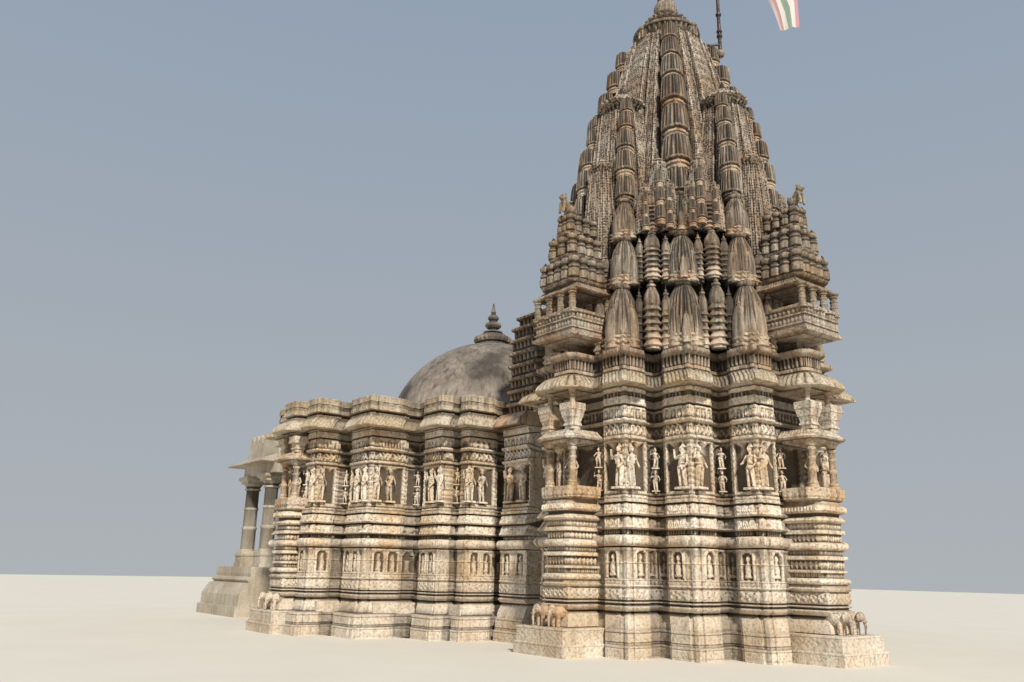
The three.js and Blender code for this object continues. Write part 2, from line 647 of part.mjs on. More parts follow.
function buildPorch() {
  const spread = (offset) =>
    rectangle(PORCH.x0 - offset, PORCH.x1, -PORCH.half - offset, PORCH.half + offset);
  addNode("porch_plinth", loft([
    [0, spread(420)], [330, spread(420)], [345, spread(340)], [700, spread(330)], [1050, spread(160)],
    [1100, spread(30)], [1180, spread(110)], [1260, spread(60)], [1290, spread(-20)],
    [1400, spread(0)], [FLOOR_RISE, spread(0)],
  ]), PORCH_STONE);
  const steps = 6;
  const tread = 300;
  const stairs = Array.from({ length: steps }, (_, i) => {
    const reach = PORCH.x0 - 420 - GAP;
    const top = (FLOOR_RISE * (steps - i)) / (steps + 1);
    return box(reach - tread * (i + 1), reach, -1300, 1300, 0, top);
  });
  addNode("porch_stair", join(stairs), PORCH_STONE);

  const columns = [
    ["front_near", PORCH.front, -4300], ["front_far", PORCH.front, 4300],
    ["rear_near", PORCH.second, -4300], ["rear_far", PORCH.second, 4300],
    ["door_near", PORCH.front, -1500], ["door_far", PORCH.front, 1500],
  ];
  const base = FLOOR_RISE + GAP;
  for (const [place, x, y] of columns) {
    const column = join([
      loft([
        [base, rectangle(x - 330, x + 330, y - 330, y + 330)],
        [base + 420, rectangle(x - 320, x + 320, y - 320, y + 320)],
        [base + 560, rectangle(x - 260, x + 260, y - 260, y + 260)],
      ]),
      turned(x, y, [[base + 540, 270], [3300, 250], [4300, 235]], 8),
      turned(x, y, [[4290, 290], [4380, 290], [4400, 240], [4500, 320], [4560, 330]], 8),
      loft([
        [4550, rectangle(x - 330, x + 330, y - 330, y + 330)],
        [4700, rectangle(x - 420, x + 420, y - 420, y + 420)],
        [4800 - GAP, rectangle(x - 420, x + 420, y - 420, y + 420)],
      ]),
    ]);
    addNode(`porch_column_${place}`, column, PORCH_STONE);
  }
  const beam = 4800;
  const inner = [[PORCH.front - 250, -4600], [PORCH.x1, 4600]];
  const slab = (z0, z1, outOffset) => box(
    inner[0][0] - outOffset, inner[1][0], inner[0][1] - outOffset, inner[1][1] + outOffset, z0, z1,
  );
  const hollow = box(PORCH.front + 250, PORCH.x1 + 10, -4050, 4050, beam - 10, beam + 380);
  addNode("porch_roof", join([
    slab(beam, beam + 390, 0).subtract(hollow),
    loft([
      [5160, rectangle(PORCH.x0, PORCH.x1, -PORCH.half, PORCH.half)],
      [5200, rectangle(PORCH.x0, PORCH.x1, -PORCH.half, PORCH.half)],
      [5420, rectangle(inner[0][0] - 20, PORCH.x1, inner[0][1] - 20, inner[1][1] + 20)],
    ]),
    slab(5400, 5640, -60),
  ]), PORCH_STONE);
  const ring = slab(5640 + GAP, 5980, -90).subtract(slab(5630, 5990, -330));
  const merlon = (x, y, alongX) => {
    const outline = [[-170, 0], [170, 0], [170, 150], [0, 340], [-170, 150]];
    const rings = alongX
      ? outline.map(([s, h]) => [x + s, h])
      : outline.map(([s, h]) => [y + s, h]);
    const thick = 90;
    const prism = loft([[-thick, rings], [thick, rings]]).rotate([90, 0, 0]);
    return alongX
      ? prism.translate([0, y, 5970])
      : prism.rotate([0, 0, 90]).translate([x, 0, 5970]);
  };
  const merlons = [];
  const outX = inner[0][0] + 210;
  const outY = 4390;
  for (let x = outX; x < PORCH.x1 - 200; x += 400) {
    merlons.push(merlon(x, -outY, true), merlon(x, outY, true));
  }
  for (let y = -outY + 399; y < outY - 200; y += 399) merlons.push(merlon(outX, y, false));
  addNode("porch_parapet", join([ring, ...merlons]), PORCH_STONE);
}

// Balconies and elephants of the tower's three free faces and the hall's two
function buildBays() {
  const faces = [["rear", 0], ["far", 1], ["near", 3]];
  const towerWall = wallCourse(TOWER_PLAN, TOWER_BAY, TOWER_BAY_TOP, grown(TOWER_WALL_PROFILE));
  const towerBalcony = lowerBalcony(3860, TOWER_BAY_TOP, WALL_TOP, towerWall);
  const roofBalcony = upperBalcony();
  const towerPair = elephants(TOWER_BAY, plinthCourse(TOWER_PLAN, TOWER_BAY, grown(PLINTH_PROFILE)));
  for (const [side, turns] of faces) {
    addNode(`lower_balcony_${side}`, quarterTurn(towerBalcony, turns), WHITE_MARBLE);
    addNode(`upper_balcony_${side}`, quarterTurn(roofBalcony, turns), WHITE_MARBLE);
    addNode(`tower_elephants_${side}`, quarterTurn(towerPair, turns), PLINTH_STONE);
  }
  const hallWall = wallCourse(HALL_PLAN, HALL_BAY, HALL_BAY_TOP, grown(LOW_WALL_PROFILE));
  const hallBalcony = lowerBalcony(6660, HALL_BAY_TOP, HALL_WALL_TOP, hallWall);
  const hallPair = elephants(HALL_BAY, plinthCourse(HALL_PLAN, HALL_BAY, grown(HALL_PLINTH_PROFILE)));
  const toHall = (solid, turns) => quarterTurn(solid, turns).translate([HALL_X, 0, 0]);
  for (const [side, turns] of faces.slice(1)) {
    addNode(`hall_balcony_${side}`, toHall(hallBalcony, turns), WHITE_MARBLE);
    addNode(`hall_elephants_${side}`, toHall(hallPair, turns), PLINTH_STONE);
  }
}

buildTower();
buildSpire();
buildFlag();
buildVestibule();
buildHall();
buildBays();
buildPorch();

export default temple;
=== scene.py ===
"""Looks of a carved stone temple: a sanctum tower under a curved spire, a domed hall and a porch.

Metres, Z up. The origin is the ground under the middle of the tower, the hall lies toward -X.
"""
import json
import logging
import math
from dataclasses import dataclass, field
from enum import Enum
from typing import Callable, Sequence

import bpy
import numpy as np
from mathutils import Matrix, Vector
from mathutils.geometry import tessellate_polygon


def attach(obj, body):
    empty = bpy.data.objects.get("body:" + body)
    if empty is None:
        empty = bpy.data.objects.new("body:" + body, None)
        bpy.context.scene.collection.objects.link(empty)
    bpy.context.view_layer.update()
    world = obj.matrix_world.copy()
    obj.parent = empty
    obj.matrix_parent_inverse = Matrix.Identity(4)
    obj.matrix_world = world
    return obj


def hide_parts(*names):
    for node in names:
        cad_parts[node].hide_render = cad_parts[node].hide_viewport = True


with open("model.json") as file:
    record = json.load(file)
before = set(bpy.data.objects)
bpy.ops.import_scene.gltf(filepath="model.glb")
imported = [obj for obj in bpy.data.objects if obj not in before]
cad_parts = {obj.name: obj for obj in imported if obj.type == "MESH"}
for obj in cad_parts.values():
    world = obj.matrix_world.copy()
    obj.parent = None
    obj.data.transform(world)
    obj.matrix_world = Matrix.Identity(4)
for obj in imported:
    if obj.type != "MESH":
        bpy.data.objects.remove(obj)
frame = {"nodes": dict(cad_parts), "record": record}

log = logging.getLogger("temple")

Points = np.ndarray
Profile = Sequence[tuple[float, float]]
Carving = Callable[[Points, Points, Points], Points]

# a hollow this deep, in metres, gets the full painted shade
FULL_DEPTH = 0.036


# Colours and materials


def linear(hex_colour: str) -> tuple[float, float, float, float]:
    """Turns an sRGB colour into the linear values that shaders work in.

    Args:
        hex_colour: Six hex digits after a hash sign.

    Returns:
        Linear red, green and blue with an alpha of one.
    """
    parts = [int(hex_colour[i : i + 2], 16) / 255 for i in (1, 3, 5)]
    r, g, b = (c / 12.92 if c <= 0.04045 else ((c + 0.055) / 1.055) ** 2.4 for c in parts)
    return (r, g, b, 1.0)


def add(
    tree: bpy.types.NodeTree, kind: str, inputs: dict[str | int, object] | None = None,
    out: str | int = 0, **settings: object
) -> bpy.types.NodeSocket:
    """Adds one node to a tree, sets it up and links what feeds it.

    Args:
        tree: Tree that takes the node.
        kind: Blender's name for the kind of node.
        inputs: Value, or socket to link, for each input by name or number.
        out: Output that is handed back.
        **settings: Properties of the node itself.

    Returns:
        The chosen output socket.
    """
    made = tree.nodes.new(kind)
    for name, value in settings.items():
        setattr(made, name, value)
    for key, value in (inputs or {}).items():
        if isinstance(value, bpy.types.NodeSocket):
            tree.links.new(value, made.inputs[key])
        else:
            made.inputs[key].default_value = value
    return made.outputs[out] if made.outputs else None


def blend(
    tree: bpy.types.NodeTree, share: object, under: object, over: object, kind: str = "MIX"
) -> bpy.types.NodeSocket:
    """Lays one colour over another.

    Args:
        tree: Tree that takes the node.
        share: How much of the upper colour shows, 0 to 1.
        under: Lower colour.
        over: Upper colour.
        kind: Blender's name for the way they mix.

    Returns:
        The mixed colour.
    """
    return add(
        tree, "ShaderNodeMix", {0: share, 6: under, 7: over}, out=2, data_type="RGBA", blend_type=kind
    )


def blank(name: str) -> tuple[bpy.types.Material, bpy.types.NodeTree]:
    """Starts a material without nodes.

    Args:
        name: Its name.

    Returns:
        The material and its empty tree.
    """
    material = bpy.data.materials.new(name)
    material.use_nodes = True
    material.node_tree.nodes.clear()
    return material, material.node_tree


@dataclass(frozen=True)
class Stone:
    """Carved stone that has stood in the weather.

    Attributes:
        name: Name of the material.
        clean: sRGB colour of the dressed stone.
        warm: sRGB colour of the iron-stained stone between.
        grime_and_shade: sRGB colour of the dark streaks, and of the painted shade in hollows, recesses
            and the gaps of the carving.
        streaks: How strongly dark streaks run down the faces, 0 to 1.
        rust: How strongly orange stains show, 0 to 1, and with them the orange painted shade on faces
            that look down.
        soot: Share of the surface that has gone black high up.
        soot_low: Height in metres where the blackening starts.
        soot_high: Height in metres where it is complete.
        chisel_mm: Size of the finest carving, which is only bumped.
        relief_mm: Depth of that carving.
        pits: How dark the gaps of that carving are, 0 to 1.
        gaps: Distance from the middle of a cell where the gap starts, as a share of its size.
        pierced: Whether the gaps are holes in rows, as in a stone lattice.
    """

    name: str
    clean: str
    warm: str
    grime_and_shade: str
    streaks: float = 0.35
    rust: float = 0.4
    soot: float = 0.0
    soot_low: float = 6.0
    soot_high: float = 10.0
    chisel_mm: float = 45.0
    relief_mm: float = 14.0
    pits: float = 0.35
    gaps: float = 0.42
    pierced: bool = False

    def build(self) -> bpy.types.Material:
        """Makes the material.

        Returns:
            A material whose pattern sizes are real metres.
        """
        material, tree = blank(self.name)
        place = add(tree, "ShaderNodeTexCoord", out="Object")
        height = add(tree, "ShaderNodeSeparateXYZ", {0: place}, out="Z")
        facing = add(
            tree, "ShaderNodeSeparateXYZ", {0: add(tree, "ShaderNodeNewGeometry", out="Normal")}, out="Z"
        )
        # broad clouds of warmer stone about 1100 mm across, a block or two
        clouds = add(tree, "ShaderNodeTexNoise", {"Vector": place, "Scale": 0.9, "Detail": 5.0})
        warmth = add(tree, "ShaderNodeMapRange", {0: clouds, 1: 0.38, 2: 0.66, 3: 0.0, 4: 0.85})
        colour = blend(tree, warmth, linear(self.clean), linear(self.warm))
        # orange run-off stains in blots of about 300 mm, made strongest where a face looks down as orange
        # painted shade under ledges
        blots = add(
            tree, "ShaderNodeTexNoise", {"Vector": place, "Scale": 3.2, "Detail": 6.0, "Roughness": 0.62}
        )
        under = add(tree, "ShaderNodeMapRange", {0: facing, 1: 0.1, 2: -0.75, 3: 0.25, 4: 1.0})
        blot = add(tree, "ShaderNodeMapRange", {0: blots, 1: 0.46, 2: 0.68, 3: 0.0, 4: self.rust})
        stain_and_shade = add(tree, "ShaderNodeMath", {0: under, 1: blot}, operation="MULTIPLY")
        colour = blend(tree, stain_and_shade, colour, linear("#a8642c"))
        # dark streaks that water draws down the faces, about 140 mm wide and ten times as long
        drawn = add(tree, "ShaderNodeMapping", {"Vector": place, "Scale": (4.5, 4.5, 0.45)})
        drips = add(tree, "ShaderNodeTexNoise", {"Vector": drawn, "Scale": 1.6, "Detail": 7.0})
        drip = add(tree, "ShaderNodeMapRange", {0: drips, 1: 0.5, 2: 0.7, 3: 0.0, 4: self.streaks})
        colour = blend(tree, drip, colour, linear(self.grime_and_shade))
        # painted shade: the hollows of the carving, recessed faces and the gaps between the tower's
        # stacks darken toward the grime colour
        hollow = add(tree, "ShaderNodeAttribute", out="Fac", attribute_name="hollow")
        hollow_shade = add(tree, "ShaderNodeMapRange", {0: hollow, 1: 0.06, 2: 0.7, 3: 0.0, 4: 0.93})
        colour = blend(tree, hollow_shade, colour, linear(self.grime_and_shade))
        if self.soot:
            # black crust in patches about 90 mm wide, thin where the stone is kept clean
            risen = add(tree, "ShaderNodeMapRange", {0: height, 1: self.soot_low, 2: self.soot_high})
            crust = add(
                tree, "ShaderNodeTexNoise",
                {"Vector": drawn, "Scale": 2.4, "Detail": 8.0, "Roughness": 0.7}
            )
            patch = add(tree, "ShaderNodeMapRange", {0: crust, 1: 0.3, 2: 0.58, 3: 0.12, 4: self.soot})
            bare = add(tree, "ShaderNodeMapRange", {0: hollow, 1: -0.8, 2: -0.1, 3: 0.08, 4: 1.0})
            reached = add(tree, "ShaderNodeMath", {0: risen, 1: bare}, operation="MULTIPLY")
            black = add(tree, "ShaderNodeMath", {0: reached, 1: patch}, operation="MULTIPLY")
            colour = blend(tree, black, colour, linear("#3a342d"))
        # shadowed gaps of the finest carving, each cell chisel_mm across
        cells = add(
            tree,
            "ShaderNodeTexVoronoi",
            {"Vector": place, "Scale": 1000 / self.chisel_mm, "Randomness": 0.4 if self.pierced else 1.0},
            feature="F1" if self.pierced else "SMOOTH_F1"
        )
        edge = self.gaps - 0.16 if self.pierced else self.gaps + 0.22
        gap = add(tree, "ShaderNodeMapRange", {0: cells, 1: self.gaps, 2: edge, 3: 0.0, 4: self.pits})
        colour = blend(tree, gap, colour, linear(self.grime_and_shade))
        # grains of sand are under 1 mm, too fine to show, so the grain is drawn at 14 mm
        grain = add(tree, "ShaderNodeTexNoise", {"Vector": place, "Scale": 70.0, "Detail": 3.0})
        speck = add(tree, "ShaderNodeMapRange", {0: grain, 1: 0.3, 2: 0.7, 3: 0.86, 4: 1.12})
        colour = blend(tree, 1.0, colour, speck, "MULTIPLY")
        # weathered bumps about 45 mm across
        worn = add(tree, "ShaderNodeTexNoise", {"Vector": place, "Scale": 22.0, "Detail": 6.0})
        carved = add(
            tree, "ShaderNodeBump",
            {"Strength": 0.75, "Distance": self.relief_mm / 1000, "Height": cells},
            invert=not self.pierced
        )
        bumped = add(
            tree, "ShaderNodeBump", {"Strength": 0.6, "Distance": 0.01, "Height": worn, "Normal": carved}
        )
        shader = add(
            tree,
            "ShaderNodeBsdfPrincipled",
            {"Base Color": colour, "Roughness": 0.88, "IOR": 1.5, "Normal": bumped}
        )
        add(tree, "ShaderNodeOutputMaterial", {0: shader})
        return material


@dataclass(frozen=True)
class Metal:
    """Rusted iron under old paint."""

    name: str
    paint: str
    rust: str

    def build(self) -> bpy.types.Material:
        """Makes the material.

        Returns:
            A material with rust breaking through dull paint.
        """
        material, tree = blank(self.name)
        place = add(tree, "ShaderNodeTexCoord", out="Object")
        # real spots of rust are a few millimetres, too fine to show, so they are drawn at 110 mm
        spots = add(tree, "ShaderNodeTexNoise", {"Vector": place, "Scale": 9.0, "Detail": 7.0})
        rusty = add(tree, "ShaderNodeMapRange", {0: spots, 1: 0.48, 2: 0.6})
        colour = blend(tree, rusty, linear(self.paint), linear(self.rust))
        rough = add(tree, "ShaderNodeMapRange", {0: rusty, 3: 0.45, 4: 0.85})
        bump = add(tree, "ShaderNodeBump", {"Strength": 0.4, "Distance": 0.003, "Height": spots})
        shader = add(
            tree,
            "ShaderNodeBsdfPrincipled",
            {"Base Color": colour, "Roughness": rough, "Metallic": 0.35, "Normal": bump}
        )
        add(tree, "ShaderNodeOutputMaterial", {0: shader})
        return material


@dataclass(frozen=True)
class Cloth:
    """Plain woven cotton in stripes that run along the flag.

    Attributes:
        name: Name of the material.
        stripes: sRGB colours with where each ends, 0 to 1 across the cloth.
    """

    name: str
    stripes: tuple[tuple[str, float], ...]

    def build(self) -> bpy.types.Material:
        """Makes the material.

        Returns:
            A thin, slightly translucent cloth.
        """
        material, tree = blank(self.name)
        across = add(tree, "ShaderNodeAttribute", out="Fac", attribute_name="across")
        ramp = tree.nodes.new("ShaderNodeValToRGB")
        ramp.color_ramp.interpolation = "CONSTANT"
        tree.links.new(across, ramp.inputs[0])
        start = 0.0
        for index, (hex_colour, end) in enumerate(self.stripes):
            stops = ramp.color_ramp.elements
            stop = stops[0] if index == 0 else stops.new(start)
            stop.color = linear(hex_colour)
            start = end
        ramp.color_ramp.elements[-1].color = linear(self.stripes[-1][0])
        place = add(tree, "ShaderNodeTexCoord", out="Object")
        # threads lie under 1 mm apart, too fine to show, so the weave is drawn at 4 mm
        weave = add(tree, "ShaderNodeTexNoise", {"Vector": place, "Scale": 240.0, "Detail": 2.0})
        bump = add(tree, "ShaderNodeBump", {"Strength": 0.25, "Distance": 0.001, "Height": weave})
        shader = add(
            tree,
            "ShaderNodeBsdfPrincipled",
            {
                "Base Color": ramp.outputs[0], "Roughness": 0.9, "IOR": 1.5, "Sheen Weight": 0.3,
                "Normal": bump
            }
        )
        glow = add(tree, "ShaderNodeBsdfTranslucent", {"Color": ramp.outputs[0]})
        mixed = add(tree, "ShaderNodeMixShader", {0: 0.3, 1: shader, 2: glow})
        add(tree, "ShaderNodeOutputMaterial", {0: mixed})
        return material


# Sandstone cut with chisels: matt and warm, with orange stains, orange painted shade under its ledges and
# painted shade in its hollows.
WALL_STONE = Stone("carved_sandstone", "#e6dccb", "#cbb08a", "#46382a", rust=0.62, pits=0.42)
# The same stone rubbed by hands and dust low down: greyer, with fewer streaks.
PLINTH_STONE = Stone("worn_sandstone", "#dcd2c2", "#c0aa8c", "#453c33", streaks=0.3, rust=0.4, pits=0.32)
# Sandstone slabs in the rain: bleached, with long dark drips and orange patches.
EAVE_STONE = Stone(
    "pale_sandstone", "#d9ceb9", "#c0a67e", "#46382b", streaks=0.5, rust=0.62, soot=0.4, soot_low=4.6,
    soot_high=6.0, pits=0.38
)
# Carved sandstone open to all weathers: a black crust over pinkish stone.
SPIRE_STONE = Stone(
    "ribbed_sandstone", "#cfc0ab", "#b08a66", "#17120f", streaks=0.66, rust=0.6, soot=0.84, soot_low=5.2,
    soot_high=7.4, chisel_mm=60.0, relief_mm=10.0, pits=0.2
)
# Sandstone pierced as a lattice: light bars round rows of holes, painted dark as shade.
LATTICE_STONE = Stone(
    "pierced_sandstone", "#d3c5b2", "#b39579", "#16120f", streaks=0.4, rust=0.35, soot=0.5, soot_low=6.2,
    soot_high=8.8, chisel_mm=70.0, relief_mm=30.0, pits=0.8, gaps=0.54, pierced=True
)
# Lime plaster smoothed by trowel: blotched grey and black by lichen, nearly without relief.
PLASTER = Stone(
    "blackened_plaster", "#b3a698", "#2f2d2b", "#24221f", streaks=0.6, rust=0.08, soot=0.5, soot_low=5.4,
    soot_high=7.2, chisel_mm=120.0, relief_mm=6.0, pits=0.1
)
# Polished marble gone dull outdoors: the palest stone, with rusty run-off and orange painted shade on
# faces that look down.
MARBLE = Stone(
    "white_marble", "#d3c8b7", "#b8966a", "#3d3127", streaks=0.6, rust=0.75, soot=0.78, soot_low=5.6,
    soot_high=8.2, chisel_mm=40.0, pits=0.45
)
# Dressed stone under a roof: even and grey, almost without streaks.
PORCH_STONE = Stone("grey_stone", "#c2baaa", "#a5957f", "#4b463d", streaks=0.35, rust=0.25, pits=0.15)
# Iron tube under old paint: dark and half matt, with rust breaking through.
IRON = Metal("rusted_iron", "#3b342e", "#4f3424")
# Woven cotton bleached by the sun: soft, matt stripes that let a little light through.
FLAG_CLOTH = Cloth(
    "striped_cotton",
    (
        ("#c9b8b0", 0.1), ("#b98d8c", 0.24), ("#ddd8cf", 0.42), ("#8fa495", 0.6), ("#e6e1d8", 0.82),
        ("#cf9aa4", 1.0)
    )
)


# Surfaces gathered from arrays


@dataclass
class Surface:
    """Faces gathered for one piece, with how hollow each point lies; below zero it is kept clean."""

    points: list[Points] = field(default_factory=list)
    faces: list[Points] = field(default_factory=list)
    hollows: list[Points] = field(default_factory=list)
    count: int = 0

    def add(self, points: Points, faces: Points, hollow: Points | None = None) -> None:
        """Takes in points and the faces between them.

        Args:
            points: Places as an array of N by 3.
            faces: Numbers of the points of each face, three or four to a row.
            hollow: How deep each point lies in its carving, 0 to 1.
        """
        points = np.asarray(points, float).reshape(-1, 3)
        self.points.append(points)
        self.faces.append(np.asarray(faces, int) + self.count)
        self.hollows.append(np.zeros(len(points)) if hollow is None else np.asarray(hollow).ravel())
        self.count += len(points)

    def grid(self, rows: Points, closed: bool = True, hollow: Points | None = None) -> None:
        """Spans a skin over rows of points.

        Args:
            rows: Array of rows by columns by 3, rows upward and columns anticlockwise.
            closed: Whether the last column joins the first.
            hollow: Depth in the carving by row and column.
        """
        high, wide = rows.shape[:2]
        columns = np.arange(wide if closed else wide - 1)
        following = (columns + 1) % wide
        base = (np.arange(high - 1) * wide)[:, None]
        quads = np.stack(
            [base + columns, base + following, base + wide + following, base + wide + columns], axis=-1
        )
        self.add(rows, quads.reshape(-1, 4), hollow)

    def cap(self, loop: Points, up: bool) -> None:
        """Closes a loop of points with a flat face.

        Args:
            loop: Array of N by 3, anticlockwise seen from above.
            up: Whether the face looks up.
        """
        triangles = tessellate_polygon([[Vector(p) for p in loop]])
        faces = np.array(triangles, int)
        a, b, c = (loop[faces[:, i]] for i in range(3))
        area = (b - a)[:, 0] * (c - a)[:, 1] - (b - a)[:, 1] * (c - a)[:, 0]
        wrong = (area > 0) != up
        faces[wrong] = faces[wrong][:, ::-1]
        self.add(loop, faces)

    def solid(self, rows: Points, hollow: Points | None = None) -> None:
        """Spans a closed skin over rows and caps both ends.

        Args:
            rows: Array of rows by columns by 3.
            hollow: Depth in the carving by row and column.
        """
        self.grid(rows, True, hollow)
        self.cap(rows[0], False)
        self.cap(rows[-1], True)

    def stamp(self, other: "Surface", matrices: Sequence[Matrix] = (Matrix.Identity(4),)) -> None:
        """Adds copies of another surface.

        Args:
            other: What is copied.
            matrices: Where each copy stands, by default where it was made.
        """
        points = np.concatenate(other.points)
        hollow = np.concatenate(other.hollows)
        for matrix in matrices:
            turn = np.array(matrix)
            placed = points @ turn[:3, :3].T + turn[:3, 3]
            start = self.count
            self.points.append(placed)
            self.hollows.append(hollow)
            self.faces.extend(faces + start for faces in other.faces)
            self.count += len(placed)

    def triangles(self) -> int:
        """Counts the triangles that the faces make.

        Returns:
            Number of triangles.
        """
        return sum(len(faces) * (faces.shape[1] - 2) for faces in self.faces)

    def build(self, name: str, sharp: float = 38.0) -> bpy.types.Object:
        """Makes the mesh object.

        Args:
            name: Name of the object.
            sharp: Angle in degrees from which an edge stays sharp.

        Returns:
            The object, linked to the scene.
        """
        mesh = bpy.data.meshes.new(name)
        points = np.concatenate(self.points)
        mesh.vertices.add(len(points))
        mesh.vertices.foreach_set("co", points.astype(np.float32).ravel())
        corners = np.concatenate([faces.ravel() for faces in self.faces])
        sizes = np.concatenate([np.full(len(faces), faces.shape[1]) for faces in self.faces])
        mesh.loops.add(len(corners))
        mesh.loops.foreach_set("vertex_index", corners.astype(np.int32))
        mesh.polygons.add(len(sizes))
        starts = np.concatenate([[0], np.cumsum(sizes)[:-1]])
        mesh.polygons.foreach_set("loop_start", starts.astype(np.int32))
        mesh.update(calc_edges=True)
        mesh.polygons.foreach_set("use_smooth", np.ones(len(sizes), bool))
        mesh.set_sharp_from_angle(angle=math.radians(sharp))
        layer = mesh.attributes.new("hollow", "FLOAT", "POINT")
        layer.data.foreach_set("value", np.concatenate(self.hollows).astype(np.float32))
        made = bpy.data.objects.new(name, mesh)
        bpy.context.scene.collection.objects.link(made)
        return made


def sink(depth: Points, reach: int = 3) -> Points:
    """Tells how deep each point of a carved field lies below its neighbours.

    Args:
        depth: How far each point stands out, in metres, by row and column; the columns close a ring.
        reach: How many neighbours count on each side.

    Returns:
        Values from 0 on open faces to 1 in deep hollows.
    """
    spread, count = depth.astype(float), 2 * reach + 1
    for axis, mode in enumerate(("edge", "wrap")):
        size = spread.shape[axis]
        margin = [(0, 0), (0, 0)]
        margin[axis] = (reach, reach)
        padded = np.pad(spread, margin, mode=mode)
        spread = sum(np.take(padded, np.arange(k, k + size), axis=axis) for k in range(count)) / count
    return np.clip((spread - depth) / FULL_DEPTH, 0.0, 1.0)


def noise_cells(values: Points, seed: int) -> Points:
    """Gives each whole number its own steady value.

    Args:
        values: Whole numbers.
        seed: Chooses one of many sets of values.

    Returns:
        Values from 0 to 1.
    """
    mixed = np.sin(values * 12.9898 + seed * 78.233) * 43758.5453
    return mixed - np.floor(mixed)


# Carved bands


class Motif(Enum):
    """What a band of carving shows."""

    FLUTES = "flutes"
    BEADS = "beads"
    PETALS = "petals"
    SCROLL = "scroll"
    LOZENGES = "lozenges"
    GABLES = "gables"
    FRIEZE = "frieze"
    TICKS = "ticks"
    SHRINE = "shrine"


@dataclass(frozen=True)
class Band:
    """Carving that runs along a stretch of wall.

    Attributes:
        motif: What it shows.
        low: Height of its lower edge in metres.
        high: Height of its upper edge.
        pitch: Distance between repeats in metres.
        depth: How far it stands out.
    """

    motif: Motif
    low: float
    high: float
    pitch: float
    depth: float

    def relief(self, along: Points, edge: Points, z: Points) -> Points:
        """Gives how far the carving stands out.

        Args:
            along: Metres from the middle of the face.
            edge: Metres from the nearer end of the face.
            z: Height in metres.

        Returns:
            Metres outward, 0 outside the band.
        """
        rise = (z - self.low) / (self.high - self.low)
        inside = (rise >= 0) & (rise <= 1)
        phase = along / self.pitch
        cell = np.round(phase)
        part = phase - cell
        match self.motif:
            case Motif.FLUTES:
                shape = np.abs(np.cos(np.pi * phase)) ** 0.7 * 2 - 1
            case Motif.BEADS:
                shape = np.sqrt(np.clip(1 - (part / 0.42) ** 2 - ((rise - 0.5) / 0.5) ** 2, 0, 1))
            case Motif.PETALS:
                tip = np.clip(1 - (2 * np.abs(part)) ** 2 - (rise * 0.9) ** 3, 0, 1)
                shape = np.sqrt(tip) - 0.35 * (np.abs(part) < 0.07)
            case Motif.SCROLL:
                wave = np.sin(2 * np.pi * phase + 2.6 * np.cos(2 * np.pi * rise))
                curl = np.cos(4 * np.pi * phase) * np.sin(2 * np.pi * rise)
                shape = 0.6 * wave + 0.5 * curl
            case Motif.LOZENGES:
                shape = np.clip(1 - 2 * np.abs(part) - np.abs(2 * rise - 1), -0.25, 1) * 1.3
            case Motif.GABLES:
                reach = np.hypot(part * 2.1, rise * 1.05)
                shape = np.where(reach < 1, 0.55 + 0.45 * np.cos(reach * 9.5), -0.15)
            case Motif.FRIEZE:
                sway = 0.12 * (noise_cells(cell, 3) - 0.5)
                body = 1 - ((part - sway) / 0.26) ** 2 - ((rise - 0.38) / 0.42) ** 2
                head = 1 - ((part - sway * 2) / 0.13) ** 2 - ((rise - 0.85) / 0.14) ** 2
                arms = 1 - ((np.abs(part) - 0.3) / 0.1) ** 2 - ((rise - 0.5 - 0.2 * sway) / 0.25) ** 2
                shape = np.sqrt(np.clip(np.maximum.reduce([body, head, arms]), 0, 1)) - 0.3
            case Motif.TICKS:
                shape = np.where(np.abs(part) < 0.27, 0.0, -1.0)
            case Motif.SHRINE:
                frame_edge = np.maximum(np.abs(part) / 0.4, np.abs(rise - 0.45) / 0.42)
                seated = 1 - (part / 0.2) ** 2 - ((rise - 0.3) / 0.24) ** 2
                head = 1 - (part / 0.09) ** 2 - ((rise - 0.62) / 0.11) ** 2
                person = np.sqrt(np.clip(np.maximum(seated, head), 0, 1))
                sunk = np.where(frame_edge < 0.86, -0.8 + 1.5 * person, 0.35)
                shape = np.where(frame_edge < 1.12, sunk, 0.0)
        fade = np.clip(edge / 0.03, 0, 1) if self.motif is not Motif.FLUTES else 1.0
        return np.where(inside, shape * self.depth * fade, 0.0)


def carve(*bands: Band) -> Carving:
    """Joins bands of carving.

    Args:
        *bands: Bands, which may lie over one another.

    Returns:
        A function from distance along, distance to the end and height to metres outward.
    """

    def relief(along: Points, edge: Points, z: Points) -> Points:
        total = np.zeros(np.broadcast(along, z).shape)
        for band in bands:
            total = total + band.relief(along, edge, z)
        return total

    return relief


def niches(low: float, high: float, deep: float = 0.07) -> Carving:
    """Makes the frames that standing figures fill: side shafts with rings and a foot.

    Args:
        low: Height of the foot.
        high: Height of the lintel.
        deep: How far the back of the niche lies in.

    Returns:
        A function like the one of carve.
    """

    def relief(along: Points, edge: Points, z: Points) -> Points:
        rise = (z - low) / (high - low)
        inside = (rise > 0) & (rise < 1)
        half = edge + np.abs(along)
        main = half > 0.16
        back = main & (edge > 0.045) & (rise > 0.09) & (rise < 0.93)
        rings = 0.012 * np.sign(np.sin(rise * 60))
        foot = main & (rise < 0.09)
        total = np.where(back, -deep, 0.0)
        total = total + np.where(~back & ~foot, rings, 0.0)
        total = total + np.where(foot, 0.03, 0.0)
        crest = np.clip(1 - np.abs(along) / np.maximum(half - 0.04, 0.02) - (0.93 - rise) / 0.1, 0, 1)
        total = total + np.where(back & (rise > 0.83), crest * deep * 1.3, 0.0)
        return np.where(inside, total, 0.0)

    return relief


def together(*carvings: Carving) -> Carving:
    """Adds several carvings up.

    Args:
        *carvings: Functions like the one of carve.

    Returns:
        One such function.
    """
    return lambda along, edge, z: sum(carving(along, edge, z) for carving in carvings)


# Paths of walls in plan


